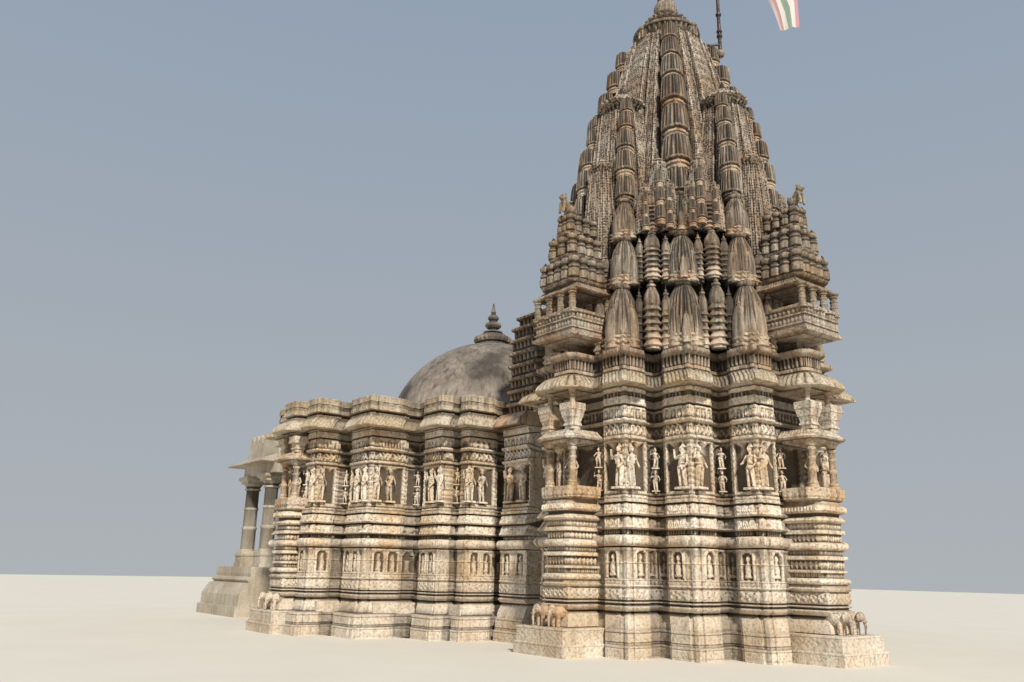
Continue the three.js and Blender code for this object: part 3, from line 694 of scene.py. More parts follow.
@dataclass
class Path:
    """Line of a wall in plan, walked anticlockwise with the outside on the right.

    Attributes:
        corners: Places of the corners, N by 2.
        mitres: How each corner moves when the wall grows by one metre.
        closed: Whether the last corner joins the first.
        deep: How far the face after each corner lies back in a recess, 0 to 1; the deeper it lies, the
            darker its painted shade.
    """

    corners: Points
    mitres: Points
    closed: bool = False
    deep: Points | None = None

    def __post_init__(self) -> None:
        """Fills in the depths where none are given."""
        if self.deep is None:
            self.deep = np.zeros(len(self.corners))

    @classmethod
    def stepped(cls, plan: Sequence[tuple[float, float]], centre_x: float = 0.0) -> "Path":
        """Makes the closed path of a stepped plan, pleated at its corners as carved walls are.

        Args:
            plan: Outer corners of the steps from the +X face round to the +Y face.
            centre_x: Middle of the plan.

        Returns:
            The path.
        """
        x, half = plan[0]
        # the middle of each face lies back behind two narrow steps
        side = [
            (x - 0.12, 0.62, 0.5), (x - 0.12, half - 0.72, 0.3), (x - 0.06, half - 0.72, 0.15),
            (x - 0.06, half - 0.64, 0.1), (x, half - 0.64, 0.0)
        ]
        quarter = list(side)
        for index, (x, y) in enumerate(plan):
            if index:
                before = plan[index - 1]
                quarter += cls.recess(x, before[1], min(before[0] - x, y - before[1]))
            following = plan[index + 1][0] if index + 1 < len(plan) else 0.0
            inner = plan[index - 1][1] if index else 0.0
            quarter += cls.pilaster(x, y, min(x - following, y - inner))
        swapped = [(y, x) for x, y, _ in reversed(side)]
        depths = [deep for _, _, deep in reversed(side)][1:] + [0.5]
        quarter += [(x, y, deep) for (x, y), deep in zip(swapped, depths)]
        corners, mitres, deeps = [], [], []
        for turn in range(4):
            for x, y, deep in quarter:
                place, mitre = (x, y), (1.0, 1.0)
                for _ in range(turn):
                    place, mitre = (-place[1], place[0]), (-mitre[1], mitre[0])
                corners.append((place[0] + centre_x, place[1]))
                mitres.append(mitre)
                deeps.append(deep)
        return cls(np.array(corners), np.array(mitres), True, np.array(deeps))

    @staticmethod
    def pilaster(x: float, y: float, run: float) -> list[tuple[float, float, float]]:
        """Lists the points of an outer corner, which carries a slim pilaster set back a little.

        Args:
            x: Place of the corner.
            y: Place of the corner.
            run: Length of the shorter face beside it.

        Returns:
            Places, with the depth of the face after each.
        """
        scale = min(1.2, run / 0.95)
        a, b, c, d = 0.2 * scale, 0.045 * scale, 0.1 * scale, 0.015 * scale
        return [
            (x, y - a, 0.1), (x - b, y - a, 0.1), (x - b, y - c, 0), (x - d, y - c, 0), (x - d, y - d, 0),
            (x - c, y - d, 0), (x - c, y - b, 0.1), (x - a, y - b, 0.1), (x - a, y, 0)
        ]

    @staticmethod
    def recess(x: float, y: float, run: float) -> list[tuple[float, float, float]]:
        """Lists the points of an inner corner, which steps back twice into a recess.

        Args:
            x: Place of the corner.
            y: Place of the corner.
            run: Length of the shorter face beside it.

        Returns:
            Places, with the depth of the face after each.
        """
        scale = min(1.2, run / 0.95)
        c, d, e, g = 0.3 * scale, 0.2 * scale, 0.06 * scale, 0.15 * scale
        return [
            (x + c, y, 0.15), (x + c, y - e, 0.15), (x + d, y - e, 0.3), (x + d, y - g, 0.5),
            (x - g, y - g, 0.5), (x - g, y + d, 0.3), (x - e, y + d, 0.15), (x - e, y + c, 0.15),
            (x, y + c, 0.0)
        ]

    @classmethod
    def bay(
        cls, inner: float, reach: float, half: float, turns: int, centre_x: float = 0.0, cut: float = 0.0
    ) -> "Path":
        """Makes the open path round a bay.

        Args:
            inner: Where it starts, from the middle of the building.
            reach: Where its front lies.
            half: Half its width.
            turns: Quarter turns from the +X face.
            centre_x: Middle of the building.
            cut: How much is cut off its corners.

        Returns:
            The path.
        """
        if cut:
            slant = math.tan(math.pi / 8)
            corners = [
                (inner, -half), (reach - cut, -half), (reach, cut - half), (reach, half - cut),
                (reach - cut, half), (inner, half)
            ]
            mitres = [(0.0, -1.0), (slant, -1.0), (1.0, -slant), (1.0, slant), (slant, 1.0), (0.0, 1.0)]
        else:
            corners = [(inner, -half), (reach, -half), (reach, half), (inner, half)]
            mitres = [(0.0, -1.0), (1.0, -1.0), (1.0, 1.0), (0.0, 1.0)]
        for _ in range(turns):
            corners = [(-y, x) for x, y in corners]
            mitres = [(-y, x) for x, y in mitres]
        return cls(np.array(corners) + (centre_x, 0.0), np.array(mitres))

    def clipped(self, low: float, high: float) -> list["Path"]:
        """Cuts a closed path between two planes across X.

        Args:
            low: Lower bound of X.
            high: Upper bound of X.

        Returns:
            The open paths that are left.
        """
        runs: list[list[tuple]] = []
        current: list[tuple] = []
        count = len(self.corners)
        for i in range(count):
            a, b = self.corners[i], self.corners[(i + 1) % count]
            ma, mb = self.mitres[i], self.mitres[(i + 1) % count]
            deep, after = self.deep[i], self.deep[(i + 1) % count]
            inside_a, inside_b = low <= a[0] <= high, low <= b[0] <= high
            sideways = (0.0, -1.0 if b[0] > a[0] else 1.0)
            if inside_a:
                if not current:
                    current.append((tuple(a), tuple(ma), deep))
                if not inside_b:
                    edge = low if b[0] < low else high
                    current.append(((edge, a[1]), sideways, 0.0))
                    runs.append(current)
                    current = []
                else:
                    current.append((tuple(b), tuple(mb), after))
            elif inside_b:
                edge = low if a[0] < low else high
                current = [((edge, b[1]), sideways, deep), (tuple(b), tuple(mb), after)]
        if current:
            if runs and runs[0][0][0] == current[-1][0]:
                runs[0] = current[:-1] + runs[0]
            else:
                runs.append(current)
        return [
            Path(
                np.array([place for place, _, _ in run]), np.array([mitre for _, mitre, _ in run]), False,
                np.array([deep for _, _, deep in run])
            )
            for run in runs
        ]

    def columns(self, spacing: float) -> "Columns":
        """Spreads columns of points along the path.

        Args:
            spacing: Distance between columns in metres.

        Returns:
            The columns.
        """
        count = len(self.corners)
        last = count if self.closed else count - 1
        found = []
        for i in range(last):
            k = (i + 1) % count
            a, b = self.corners[i], self.corners[k]
            length = float(np.hypot(*(b - a)))
            main = length > 0.3 and not self.deep[i]
            steps = max(
                2 if length > 0.05 else 1, int(round(length / (spacing * (0.62 if main else 1.3))))
            )
            tangent = (b - a) / max(length, 1e-9)
            for j in range(steps):
                part = j / steps
                normal = self.mitres[i] if j == 0 else (tangent[1], -tangent[0])
                found.append((i, k, part, (part - 0.5) * length, min(part, 1 - part) * length, normal, i))
        if not self.closed:
            found.append((last, last, 0.0, found[-1][3], 0.0, self.mitres[last], last - 1))
        return Columns(self, *(np.array(values) for values in zip(*found)))

    def faces(self) -> list[tuple[Points, Points, float, float]]:
        """Lists the straight faces.

        Returns:
            The middle, the outward direction, the length and the depth of each face.
        """
        count = len(self.corners)
        last = count if self.closed else count - 1
        found = []
        for i in range(last):
            a, b = self.corners[i], self.corners[(i + 1) % count]
            length = float(np.hypot(*(b - a)))
            tangent = (b - a) / max(length, 1e-9)
            found.append(((a + b) / 2, np.array([tangent[1], -tangent[0]]), length, self.deep[i]))
        return found


@dataclass
class Columns:
    """Columns of points along a path, ready to be raised into a wall."""

    path: Path
    first: Points
    second: Points
    share: Points
    along: Points
    edge: Points
    normal: Points
    face: Points

    def rows(self, heights: Points, offsets: Points, relief: Carving | None) -> tuple[Points, Points]:
        """Raises the columns into rows of points.

        Args:
            heights: Height of each row.
            offsets: How far each row lies out from the path.
            relief: Carving added to it.

        Returns:
            Points by row and column, and how far each stands out.
        """
        corners = self.path.corners[None] + offsets[:, None, None] * self.path.mitres[None]
        share = self.share[None, :, None]
        flat = corners[:, self.first] * (1 - share) + corners[:, self.second] * share
        depth = np.zeros(flat.shape[:2])
        if relief is not None:
            depth = relief(self.along[None, :], self.edge[None, :], heights[:, None])
            flat = flat + depth[..., None] * self.normal[None]
        levels = np.broadcast_to(heights[:, None, None], flat.shape[:2] + (1,))
        return np.concatenate([flat, levels], axis=2), depth + offsets[:, None]


def sample(profile: Profile, step: float) -> tuple[Points, Points]:
    """Walks a profile in small steps.

    Args:
        profile: Height and offset of each turning point, in order.
        step: Largest distance between rows in metres.

    Returns:
        Heights and offsets of the rows.
    """
    heights, offsets = [profile[0][0]], [profile[0][1]]
    for (z0, t0), (z1, t1) in zip(profile, profile[1:]):
        count = max(1, int(math.ceil(math.hypot(z1 - z0, t1 - t0) / step)))
        for i in range(1, count + 1):
            heights.append(z0 + (z1 - z0) * i / count)
            offsets.append(t0 + (t1 - t0) * i / count)
    return np.array(heights), np.array(offsets)


def rounded(low: float, high: float, offset: float, bulge: float) -> list[tuple[float, float]]:
    """Makes a half-round moulding.

    Args:
        low: Height of its lower edge.
        high: Height of its upper edge.
        offset: Offset of its edges.
        bulge: How far it swells out.

    Returns:
        Points of the profile.
    """
    angles = np.linspace(0, math.pi, 7)
    middle, half = (low + high) / 2, (high - low) / 2
    return [(middle - half * math.cos(a), offset + bulge * math.sin(a)) for a in angles]


@dataclass
class CarvedCourse:
    """Stretch of masonry with mouldings and carving, over one or more paths.

    Attributes:
        name: Name of the piece.
        profile: Height and offset of the mouldings.
        relief: Carving on the faces.
        replaces: Solids of the part that it stands for.
        slot: Material slot that it takes its finish from.
        spacing: Distance between columns.
        step: Distance between rows.
        stone: Material, where it isn't the slot's own.
        surface: Faces gathered so far.
    """

    name: str
    profile: Profile
    relief: Carving | None
    replaces: tuple[str, ...]
    slot: str
    spacing: float = 0.045
    step: float = 0.04
    stone: str = ""
    surface: Surface = field(default_factory=Surface)

    def raise_on(self, path: Path, inner: Sequence[tuple[float, float]] = (), roof: float = 99.0) -> None:
        """Raises the course over a path and closes it into a solid.

        Args:
            path: Outer line of the masonry.
            inner: Points that close an open path round a room.
            roof: Highest level of those points.
        """
        heights, offsets = sample(self.profile, self.step)
        columns = path.columns(self.spacing)
        points, depth = columns.rows(heights, offsets, self.relief)
        # painted shade: points deep in the carving and on recessed faces are marked hollow, so that they
        # darken
        hollow = np.clip(sink(depth) + 0.8 * path.deep[columns.face][None, :], 0, 1)
        if len(inner):
            back = np.array(inner, float)[None].repeat(len(heights), axis=0)
            levels = np.minimum(heights, roof)[:, None, None] * np.ones((1, len(inner), 1))
            points = np.concatenate([points, np.concatenate([back, levels], axis=2)], axis=1)
            hollow = np.concatenate([hollow, np.zeros((len(heights), len(inner)))], axis=1)
        self.surface.solid(points, hollow)

    def finish(self, pieces: "Pieces") -> None:
        """Hands the piece over.

        Args:
            pieces: Collection of finished pieces.
        """
        pieces.take(self.surface, self.name, self.slot, self.replaces, self.stone)


@dataclass
class Pieces:
    """Finished pieces with their materials."""

    materials: dict[str, bpy.types.Material]
    total: int = 0

    def take(
        self, surface: Surface, name: str, slot: str, replaces: Sequence[str] = (), finish: str = ""
    ) -> None:
        """Builds a piece, dresses it and fixes it to the building.

        Args:
            surface: Its faces.
            name: Its name.
            slot: Material slot of the record.
            replaces: Solids of the part that it stands for.
            finish: Material, where it isn't the slot's own.
        """
        made = surface.build(name)
        count = surface.triangles()
        if count > KEPT_TRIANGLES * 1.5:
            count = thin(made, (KEPT_TRIANGLES + KEPT_SHARE * count) / count)
        made.data.materials.append(self.materials[finish or slot])
        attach(made, "root")
        if replaces:
            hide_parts(*replaces)
        self.total += count
        log.info("%s: %d triangles", name, count)


# A carved piece keeps this many triangles, and on top this share of those it was made with.
KEPT_TRIANGLES = 5000
KEPT_SHARE = 0.27


def thin(made: bpy.types.Object, share: float, sharp: float = 38.0) -> int:
    """Collapses the short edges on flat and straight stretches of a mesh, which the carving doesn't need.

    Args:
        made: The object.
        share: Share of its triangles that is kept.
        sharp: Angle in degrees from which an edge stays sharp.

    Returns:
        The number of triangles left.
    """
    modifier = made.modifiers.new("thin", "DECIMATE")
    modifier.ratio = share
    graph = bpy.context.evaluated_depsgraph_get()
    mesh = bpy.data.meshes.new_from_object(
        made.evaluated_get(graph), preserve_all_data_layers=True, depsgraph=graph
    )
    made.modifiers.remove(modifier)
    made.data = mesh
    mesh.set_sharp_from_angle(angle=math.radians(sharp))
    return sum(len(face.vertices) - 2 for face in mesh.polygons)


# Turned and modelled details


def turned(profile: Profile, sides: int, ribs: int = 0, rib_depth: float = 0.0) -> Surface:
    """Makes a turned solid about the Z axis.

    Args:
        profile: Height and radius of each ring.
        sides: Points round each ring.
        ribs: Number of upright ribs.
        rib_depth: Share of the radius that the ribs stand out.

    Returns:
        The surface.
    """
    angles = (np.arange(sides) - 0.5) * 2 * np.pi / sides
    swell = 1 + rib_depth * (np.abs(np.cos(angles * ribs / 2)) - 0.5) if ribs else np.ones(sides)
    rows = np.array(
        [
            np.stack([r * swell * np.cos(angles), r * swell * np.sin(angles), np.full(sides, z)], axis=1)
            for z, r in profile
        ]
    )
    made = Surface()
    depth = np.array([[r * s for s in swell] for _, r in profile])
    made.solid(rows, np.clip(sink(depth), 0, 1))
    return made


def ball(centre: Sequence[float], radii: Sequence[float], turn: Matrix | None = None) -> Surface:
    """Makes a ball or a stretched ball.

    Args:
        centre: Its middle.
        radii: Half its size along each axis.
        turn: Turn about its middle.

    Returns:
        The surface.
    """
    sides, rings = 10, 6
    angles = np.arange(sides) * 2 * np.pi / sides
    rows = []
    for i in range(rings + 1):
        lift = -math.pi / 2 + math.pi * (i + 0.001) / (rings + 0.002)
        flat = max(math.cos(lift), 0.02)
        rows.append(
            np.stack(
                [flat * np.cos(angles), flat * np.sin(angles), np.full(sides, math.sin(lift))], axis=1
            )
        )
    points = np.array(rows) * np.array(radii)
    if turn is not None:
        points = points @ np.array(turn.to_3x3()).T
    made = Surface()
    made.solid(points + np.array(centre))
    return made


def limb(start: Sequence[float], end: Sequence[float], radius: float, taper: float = 0.7) -> Surface:
    """Makes a rounded limb between two places.

    Args:
        start: Its thick end.
        end: Its thin end.
        radius: Radius at the start.
        taper: Share of the radius left at the end.

    Returns:
        The surface.
    """
    a, b = Vector(start), Vector(end)
    long = (b - a).length
    profile = [
        (-radius * 0.6, radius * 0.5), (0, radius), (long, radius * taper),
        (long + radius * 0.5, radius * taper * 0.4)
    ]
    turn = (b - a).to_track_quat("Z", "Y").to_matrix().to_4x4()
    return moved(turned(profile, 8), Matrix.Translation(a) @ turn)


def block(
    x0: float, x1: float, y0: float, y1: float, z0: float, z1: float, taper: float = 0.0
) -> Surface:
    """Makes a block whose top may be smaller than its foot.

    Args:
        x0: Lowest X.
        x1: Highest X.
        y0: Lowest Y.
        y1: Highest Y.
        z0: Foot.
        z1: Top.
        taper: How far each side draws in at the top.

    Returns:
        The surface.
    """
    low = [(x0, y0, z0), (x1, y0, z0), (x1, y1, z0), (x0, y1, z0)]
    high = [
        (x0 + taper, y0 + taper, z1), (x1 - taper, y0 + taper, z1), (x1 - taper, y1 - taper, z1),
        (x0 + taper, y1 - taper, z1)
    ]
    made = Surface()
    made.solid(np.array([low, high], float))
    return made


def merged(*surfaces: Surface) -> Surface:
    """Gathers surfaces into one.

    Args:
        *surfaces: What is gathered.

    Returns:
        The surface.
    """
    made = Surface()
    for surface in surfaces:
        made.stamp(surface)
    return made


def moved(shape: Surface, *matrices: Matrix) -> Surface:
    """Copies a surface to other places.

    Args:
        shape: What is copied.
        *matrices: Where each copy stands.

    Returns:
        The copies as one surface.
    """
    made = Surface()
    made.stamp(shape, matrices)
    return made


def facing(
    x: float, y: float, z: float, outward: Sequence[float], size: float | Sequence[float] = 1.0
) -> Matrix:
    """Places a shape whose front looks along +X.

    Args:
        x: Place along X.
        y: Place along Y.
        z: Height of its foot.
        outward: Direction in plan that its front takes.
        size: Scale, or one for each axis.

    Returns:
        The matrix.
    """
    angle = math.atan2(outward[1], outward[0])
    scale = (size,) * 3 if isinstance(size, (int, float)) else tuple(size)
    return Matrix.Translation((x, y, z)) @ Matrix.Rotation(angle, 4, "Z") @ Matrix.Diagonal((*scale, 1.0))


@dataclass(frozen=True)
class Statue:
    """Standing figure of no one in particular, one metre high, that looks along +X.

    Attributes:
        sway: How far the hip leans to one side, in metres.
        raised: Whether the right arm is up.
    """

    sway: float
    raised: bool

    def surface(self) -> Surface:
        """Models the figure.

        Returns:
            Its surface, with its feet at the origin.
        """
        hip, chest, head = self.sway, -self.sway * 0.4, self.sway * 0.3
        hand = (0.09, -0.2, 0.88) if self.raised else (0.13, -0.2, 0.55)
        elbow = (0.05, -0.22, 0.68) if self.raised else (0.06, -0.21, 0.6)
        return merged(
            block(-0.05, 0.12, -0.19, 0.19, 0.0, 0.05, 0.01),
            limb((0.02, hip - 0.06, 0.48), (0.03, -0.08, 0.08), 0.062, 0.62),
            limb((0.02, hip + 0.06, 0.48), (0.03, 0.08, 0.08), 0.062, 0.62),
            ball((0.02, hip, 0.5), (0.075, 0.115, 0.08)),
            limb((0.02, hip, 0.52), (0.03, chest, 0.68), 0.075, 1.1),
            ball((0.035, chest, 0.7), (0.075, 0.12, 0.085)),
            limb((0.03, chest, 0.76), (0.035, head, 0.84), 0.035, 0.9),
            ball((0.04, head, 0.885), (0.055, 0.058, 0.07)),
            turned([(0.93, 0.058), (0.97, 0.05), (1.0, 0.032), (1.04, 0.01)], 8),
            limb((0.03, chest - 0.12, 0.74), elbow, 0.034, 0.85),
            limb(elbow, hand, 0.028, 0.8),
            limb((0.03, chest + 0.12, 0.74), (0.05, 0.2, 0.58), 0.034, 0.85),
            limb((0.05, 0.2, 0.58), (0.12, 0.15, 0.47), 0.028, 0.8),
            turned([(0.56, 0.1), (0.575, 0.108), (0.59, 0.1)], 10)
        )


def elephant() -> Surface:
    """Models a standing elephant one metre high that looks along +X.

    Returns:
        Its surface.
    """
    parts = [
        ball((-0.12, 0, 0.66), (0.5, 0.27, 0.3)),
        ball((0.4, 0, 0.76), (0.2, 0.19, 0.22)),
        ball((0.38, 0.15, 0.74), (0.07, 0.12, 0.16)),
        ball((0.38, -0.15, 0.74), (0.07, 0.12, 0.16)),
        limb((0.54, 0, 0.72), (0.62, 0, 0.38), 0.085, 0.7),
        limb((0.62, 0, 0.4), (0.6, 0, 0.06), 0.058, 0.7),
        limb((0.52, 0.09, 0.6), (0.66, 0.1, 0.56), 0.026, 0.5),
        limb((0.52, -0.09, 0.6), (0.66, -0.1, 0.56), 0.026, 0.5),
        ball((-0.1, 0, 0.93), (0.24, 0.2, 0.05))
    ]
    for x in (-0.38, 0.16):
        for y in (-0.15, 0.15):
            parts.append(limb((x, y, 0.55), (x, y, 0.02), 0.1, 0.92))
    return merged(*parts)


def lion() -> Surface:
    """Models a seated lion one metre high that looks along +X.

    Returns:
        Its surface.
    """
    return merged(
        ball((-0.22, 0, 0.28), (0.28, 0.24, 0.26)),
        limb((-0.12, 0, 0.3), (0.14, 0, 0.66), 0.21, 0.85),
        ball((0.18, 0, 0.8), (0.17, 0.19, 0.19)),
        ball((0.33, 0, 0.76), (0.1, 0.09, 0.08)),
        limb((0.2, 0.13, 0.55), (0.28, 0.13, 0.03), 0.075, 0.9),
        limb((0.2, -0.13, 0.55), (0.28, -0.13, 0.03), 0.075, 0.9),
        limb((-0.45, 0.05, 0.15), (-0.5, 0.08, 0.6), 0.045, 0.8),
        ball((0.12, 0.13, 0.96), (0.04, 0.04, 0.05)),
        ball((0.12, -0.13, 0.96), (0.04, 0.04, 0.05))
    )


# Spires


def four_sides(along: Points, out: Points) -> Points:
    """Repeats one side of an outline on all four.

    Args:
        along: Place of each point along the side.
        out: Its distance from the middle.

    Returns:
        The whole outline, anticlockwise from the +X side.
    """
    ring = []
    for turn in range(4):
        c, q = math.cos(turn * math.pi / 2), math.sin(turn * math.pi / 2)
        ring.append(np.stack([out * c - along * q, out * q + along * c], axis=1))
    return np.concatenate(ring)


def spire_ring(points: int) -> tuple[Points, Points]:
    """Makes the stepped square outline of a small spire with a half width of one metre.

    Args:
        points: Points along each of its four sides.

    Returns:
        The outline, and how far along its side each point lies.
    """
    s = np.linspace(-0.8, 0.8, points, endpoint=False)
    side = np.abs(s)
    out = np.where(side < 0.27, 1.0, np.where(side < 0.54, 0.92, 0.8))
    return four_sides(s, out), np.tile(s, 4)


# Outline of half a latticed face: place along it and distance out, as shares of the half width.
FACE_BANDS = (
    (0.0, 1.12), (0.08, 1.125), (0.16, 1.12), (0.235, 1.11), (0.245, 1.085), (0.255, 1.085), (0.27, 1.15),
    (0.3, 1.165), (0.33, 1.15), (0.335, 1.0), (0.37, 0.98), (0.375, 1.05), (0.39, 1.09), (0.415, 1.09),
    (0.43, 1.04), (0.44, 1.055), (0.5, 1.065), (0.56, 1.055), (0.57, 1.035), (0.585, 1.08), (0.61, 1.09),
    (0.635, 1.075), (0.64, 0.93), (0.67, 0.91), (0.675, 0.96), (0.69, 0.99), (0.715, 0.99), (0.73, 0.96),
    (0.735, 0.86), (0.765, 0.84), (0.775, 0.88), (0.82, 0.9), (0.86, 0.88)
)


def banded_ring() -> tuple[Points, Points]:
    """Makes the outline of a curved spire: upright bands with raised edges and deep seams between.

    Returns:
        The outline, and which of its points are raised edges.
    """
    right = np.array(FACE_BANDS)
    left = right[:0:-1] * (-1, 1)
    s, out = np.concatenate([left, right]).T
    raised = np.isin(np.abs(s), (0.3, 0.61, 0.7, 0.4))
    return four_sides(s, out), np.tile(raised, 4)


def latticed(heights: Points, reach: Points) -> Surface:
    """Raises the banded outline through a curve.

    Args:
        heights: Height of each ring.
        reach: Half width at each height.

    Returns:
        Its surface, about the Z axis.
    """
    ring, edge = banded_ring()
    rows, depth = [], []
    for z, width in zip(heights, reach):
        grown = ring * width
        rows.append(np.concatenate([grown, np.full((len(ring), 1), z)], axis=1))
        depth.append(
            np.linalg.norm(grown, axis=1) - np.abs(np.linalg.norm(ring, axis=1) - 1.1) * 0.5 * width
        )
    made = Surface()
    made.solid(np.array(rows), sink(np.array(depth)) * 0.9 - edge[None, :] * 0.9)
    return made


def pleated(
    profile: Profile, detail: int, ribbed: float, clean: float = 0.0, pitch: float = 0.2667
) -> Surface:
    """Raises a stepped square outline through a profile.

    Args:
        profile: Height and half width of each ring.
        detail: Points along each side.
        ribbed: Height above which ribs run up the faces.
        clean: Height up to which the stone is sheltered and clean.
        pitch: Distance between ribs.

    Returns:
        The surface, with its foot at the origin.
    """
    ring, place = spire_ring(detail)
    ribs = 1.03 - 0.13 * (0.5 - 0.5 * np.cos(place * 2 * np.pi / pitch)) ** 1.5
    rows, depth = [], []
    for z, width in profile:
        fluted = ring * (ribs if z > ribbed else np.ones(len(ribs)))[:, None]
        rows.append(np.concatenate([fluted * width, np.full((len(ring), 1), z)], axis=1))
        groove = ribs if z > ribbed else 1.0
        depth.append((np.linalg.norm(ring, axis=1) * 0.5 + width) * 0.16 + groove * 0.6)
    made = Surface()
    low = np.array([z < clean for z, _ in profile])[:, None]
    made.solid(np.array(rows), sink(np.array(depth)) - low * 0.9)
    return made


def crest(z: float, scale: float = 1.0) -> Surface:
    """Models the ribbed disc and the pot on a small spire.

    Args:
        z: Height of its foot.
        scale: Scale of its radii.

    Returns:
        The surface.
    """
    disc = [(z, 0.34), (z + 0.02, 0.5), (z + 0.05, 0.56), (z + 0.08, 0.5), (z + 0.09, 0.26)]
    pot = [
        (z + 0.08, 0.2), (z + 0.12, 0.3), (z + 0.16, 0.24), (z + 0.19, 0.1), (z + 0.22, 0.15),
        (z + 0.3, 0.02)
    ]
    return merged(
        turned([(h, r * scale) for h, r in disc], 20, 10, 0.2),
        turned([(h, r * scale) for h, r in pot], 8)
    )


def bell(rich: bool) -> Surface:
    """Models a small spire: mouldings, a ribbed body that narrows upward, a ribbed disc and a pot.

    Args:
        rich: Whether its ribs are finer and its corners carry half spires too.

    Returns:
        Its surface, one metre high and one metre in half width.
    """
    profile = [
        (0.0, 0.92), (0.02, 0.98), (0.03, 0.86), (0.05, 0.86), (0.06, 0.98), (0.085, 1.0), (0.095, 0.86),
        (0.12, 0.86), (0.13, 0.97), (0.155, 0.97), (0.165, 0.8), (0.19, 0.84), (0.22, 0.9), (0.34, 0.88),
        (0.46, 0.82), (0.57, 0.73), (0.66, 0.61), (0.73, 0.47), (0.77, 0.38), (0.78, 0.28)
    ]
    half = [
        (0.02, 1.0), (0.07, 1.06), (0.08, 0.9), (0.13, 0.9), (0.14, 1.04), (0.19, 1.04), (0.2, 0.92),
        (0.3, 0.96), (0.5, 0.9), (0.68, 0.74), (0.8, 0.52), (0.84, 0.3), (0.86, 0.36), (0.9, 0.3),
        (0.97, 0.04)
    ]
    made = pleated(profile, 24 if rich else 20, 0.2, 0.16, 0.2667 if rich else 0.32)
    made.stamp(crest(0.75, 0.86), [Matrix.Translation((0, 0, 0.02))])
    low = pleated(half, 8 if rich else 6, 0.22, 0.15, 0.4)
    for x, y in ((0.62, 0), (-0.62, 0), (0, 0.62), (0, -0.62)):
        made.stamp(low, [Matrix.Translation((x, y, 0)) @ Matrix.Diagonal((0.42, 0.42, 0.62, 1))])
    for x, y in ((0.74, 0.74), (-0.74, 0.74), (-0.74, -0.74), (0.74, -0.74)) if rich else ():
        made.stamp(low, [Matrix.Translation((x, y, 0.02)) @ Matrix.Diagonal((0.22, 0.22, 0.42, 1))])
    return made


def segment() -> Surface:
    """Models one ribbed length of the stack that runs up a corner of the spire.

    Returns:
        Its surface, one metre high and one metre in half width.
    """
    profile = [
        (0.0, 0.84), (0.05, 0.86), (0.06, 0.94), (0.11, 0.96), (0.12, 0.82), (0.18, 0.82), (0.19, 0.95),
        (0.24, 0.98), (0.25, 0.84), (0.3, 0.86), (0.32, 1.08), (0.37, 1.1), (0.4, 1.01), (0.55, 0.99),
        (0.7, 0.96), (0.85, 0.91), (0.95, 0.86), (1.0, 0.82)
    ]
    return pleated(profile, 16, 0.38, 0.3, 0.4)


def shrine_stack(levels: int) -> Surface:
    """Models a slim shrine: a stack of square mouldings under a small ribbed spire.

    Args:
        levels: Number of mouldings.

    Returns:
        Its surface, one metre high and one metre in half width.
    """
    profile = []
    for level in range(levels):
        z = 0.56 * level / levels
        rise = 0.56 / levels
        profile += [(z, 0.8), (z + rise * 0.35, 0.8), (z + rise * 0.45, 1.05), (z + rise * 0.75, 1.0)]
    profile += [(0.57, 0.8), (0.6, 0.94), (0.68, 0.88), (0.76, 0.7), (0.81, 0.48), (0.83, 0.3)]
    made = pleated(profile, 8, 0.1, 0.2, 0.5)
    made.stamp(crest(0.81, 0.9), [Matrix.Diagonal((1, 1, 0.62, 1)) @ Matrix.Translation((0, 0, 0.5))])
    return made


def tall_spire(base: float, top: float, reach: float, spacing: float) -> Surface:
    """Models a tall curved spire with latticed bands under a ribbed disc and a pot.

    Args:
        base: Height of its foot.
        top: Height of the top of its disc.
        reach: Half its width at the foot.
        spacing: Distance between points.

    Returns:
        Its surface, about the Z axis.
    """
    rise = top - base
    heights = np.arange(base, base + 0.94 * rise, spacing)
    part = (heights - base) / rise
    made = latticed(heights, reach * 0.9 * (1 - 0.14 * part - 0.32 * part**2.4))
    disc = [
        (top - 0.07 * rise - 0.03, reach * 0.4), (top - 0.21, reach * 0.48), (top - 0.15, reach * 0.56),
        (top - 0.1, reach * 0.64), (top - 0.05, reach * 0.63), (top - 0.04, reach * 0.5),
        (top, reach * 0.3)
    ]
    made.stamp(turned(disc, 96, 24, 0.14))
    pot = [
        (top - 0.01, reach * 0.24), (top + reach * 0.12, reach * 0.34),
        (top + reach * 0.26, reach * 0.26), (top + reach * 0.34, reach * 0.12),
        (top + reach * 0.6, reach * 0.02)
    ]
    made.stamp(turned(pot, 12))
    return made


def quarter_turns(x: float, y: float, both: bool = True) -> list[tuple[float, float]]:
    """Lists the places that a place takes on the four sides.

    Args:
        x: Distance out.
        y: Distance sideways.
        both: Whether the mirrored places are wanted too.

    Returns:
        The places.
    """
    found = []
    for a, b in ((x, y), (x, -y)) if both and abs(y) > 1e-6 and abs(x - y) > 1e-6 else ((x, y),):
        for _ in range(4):
            found.append((a, b))
            a, b = -b, a
    return found


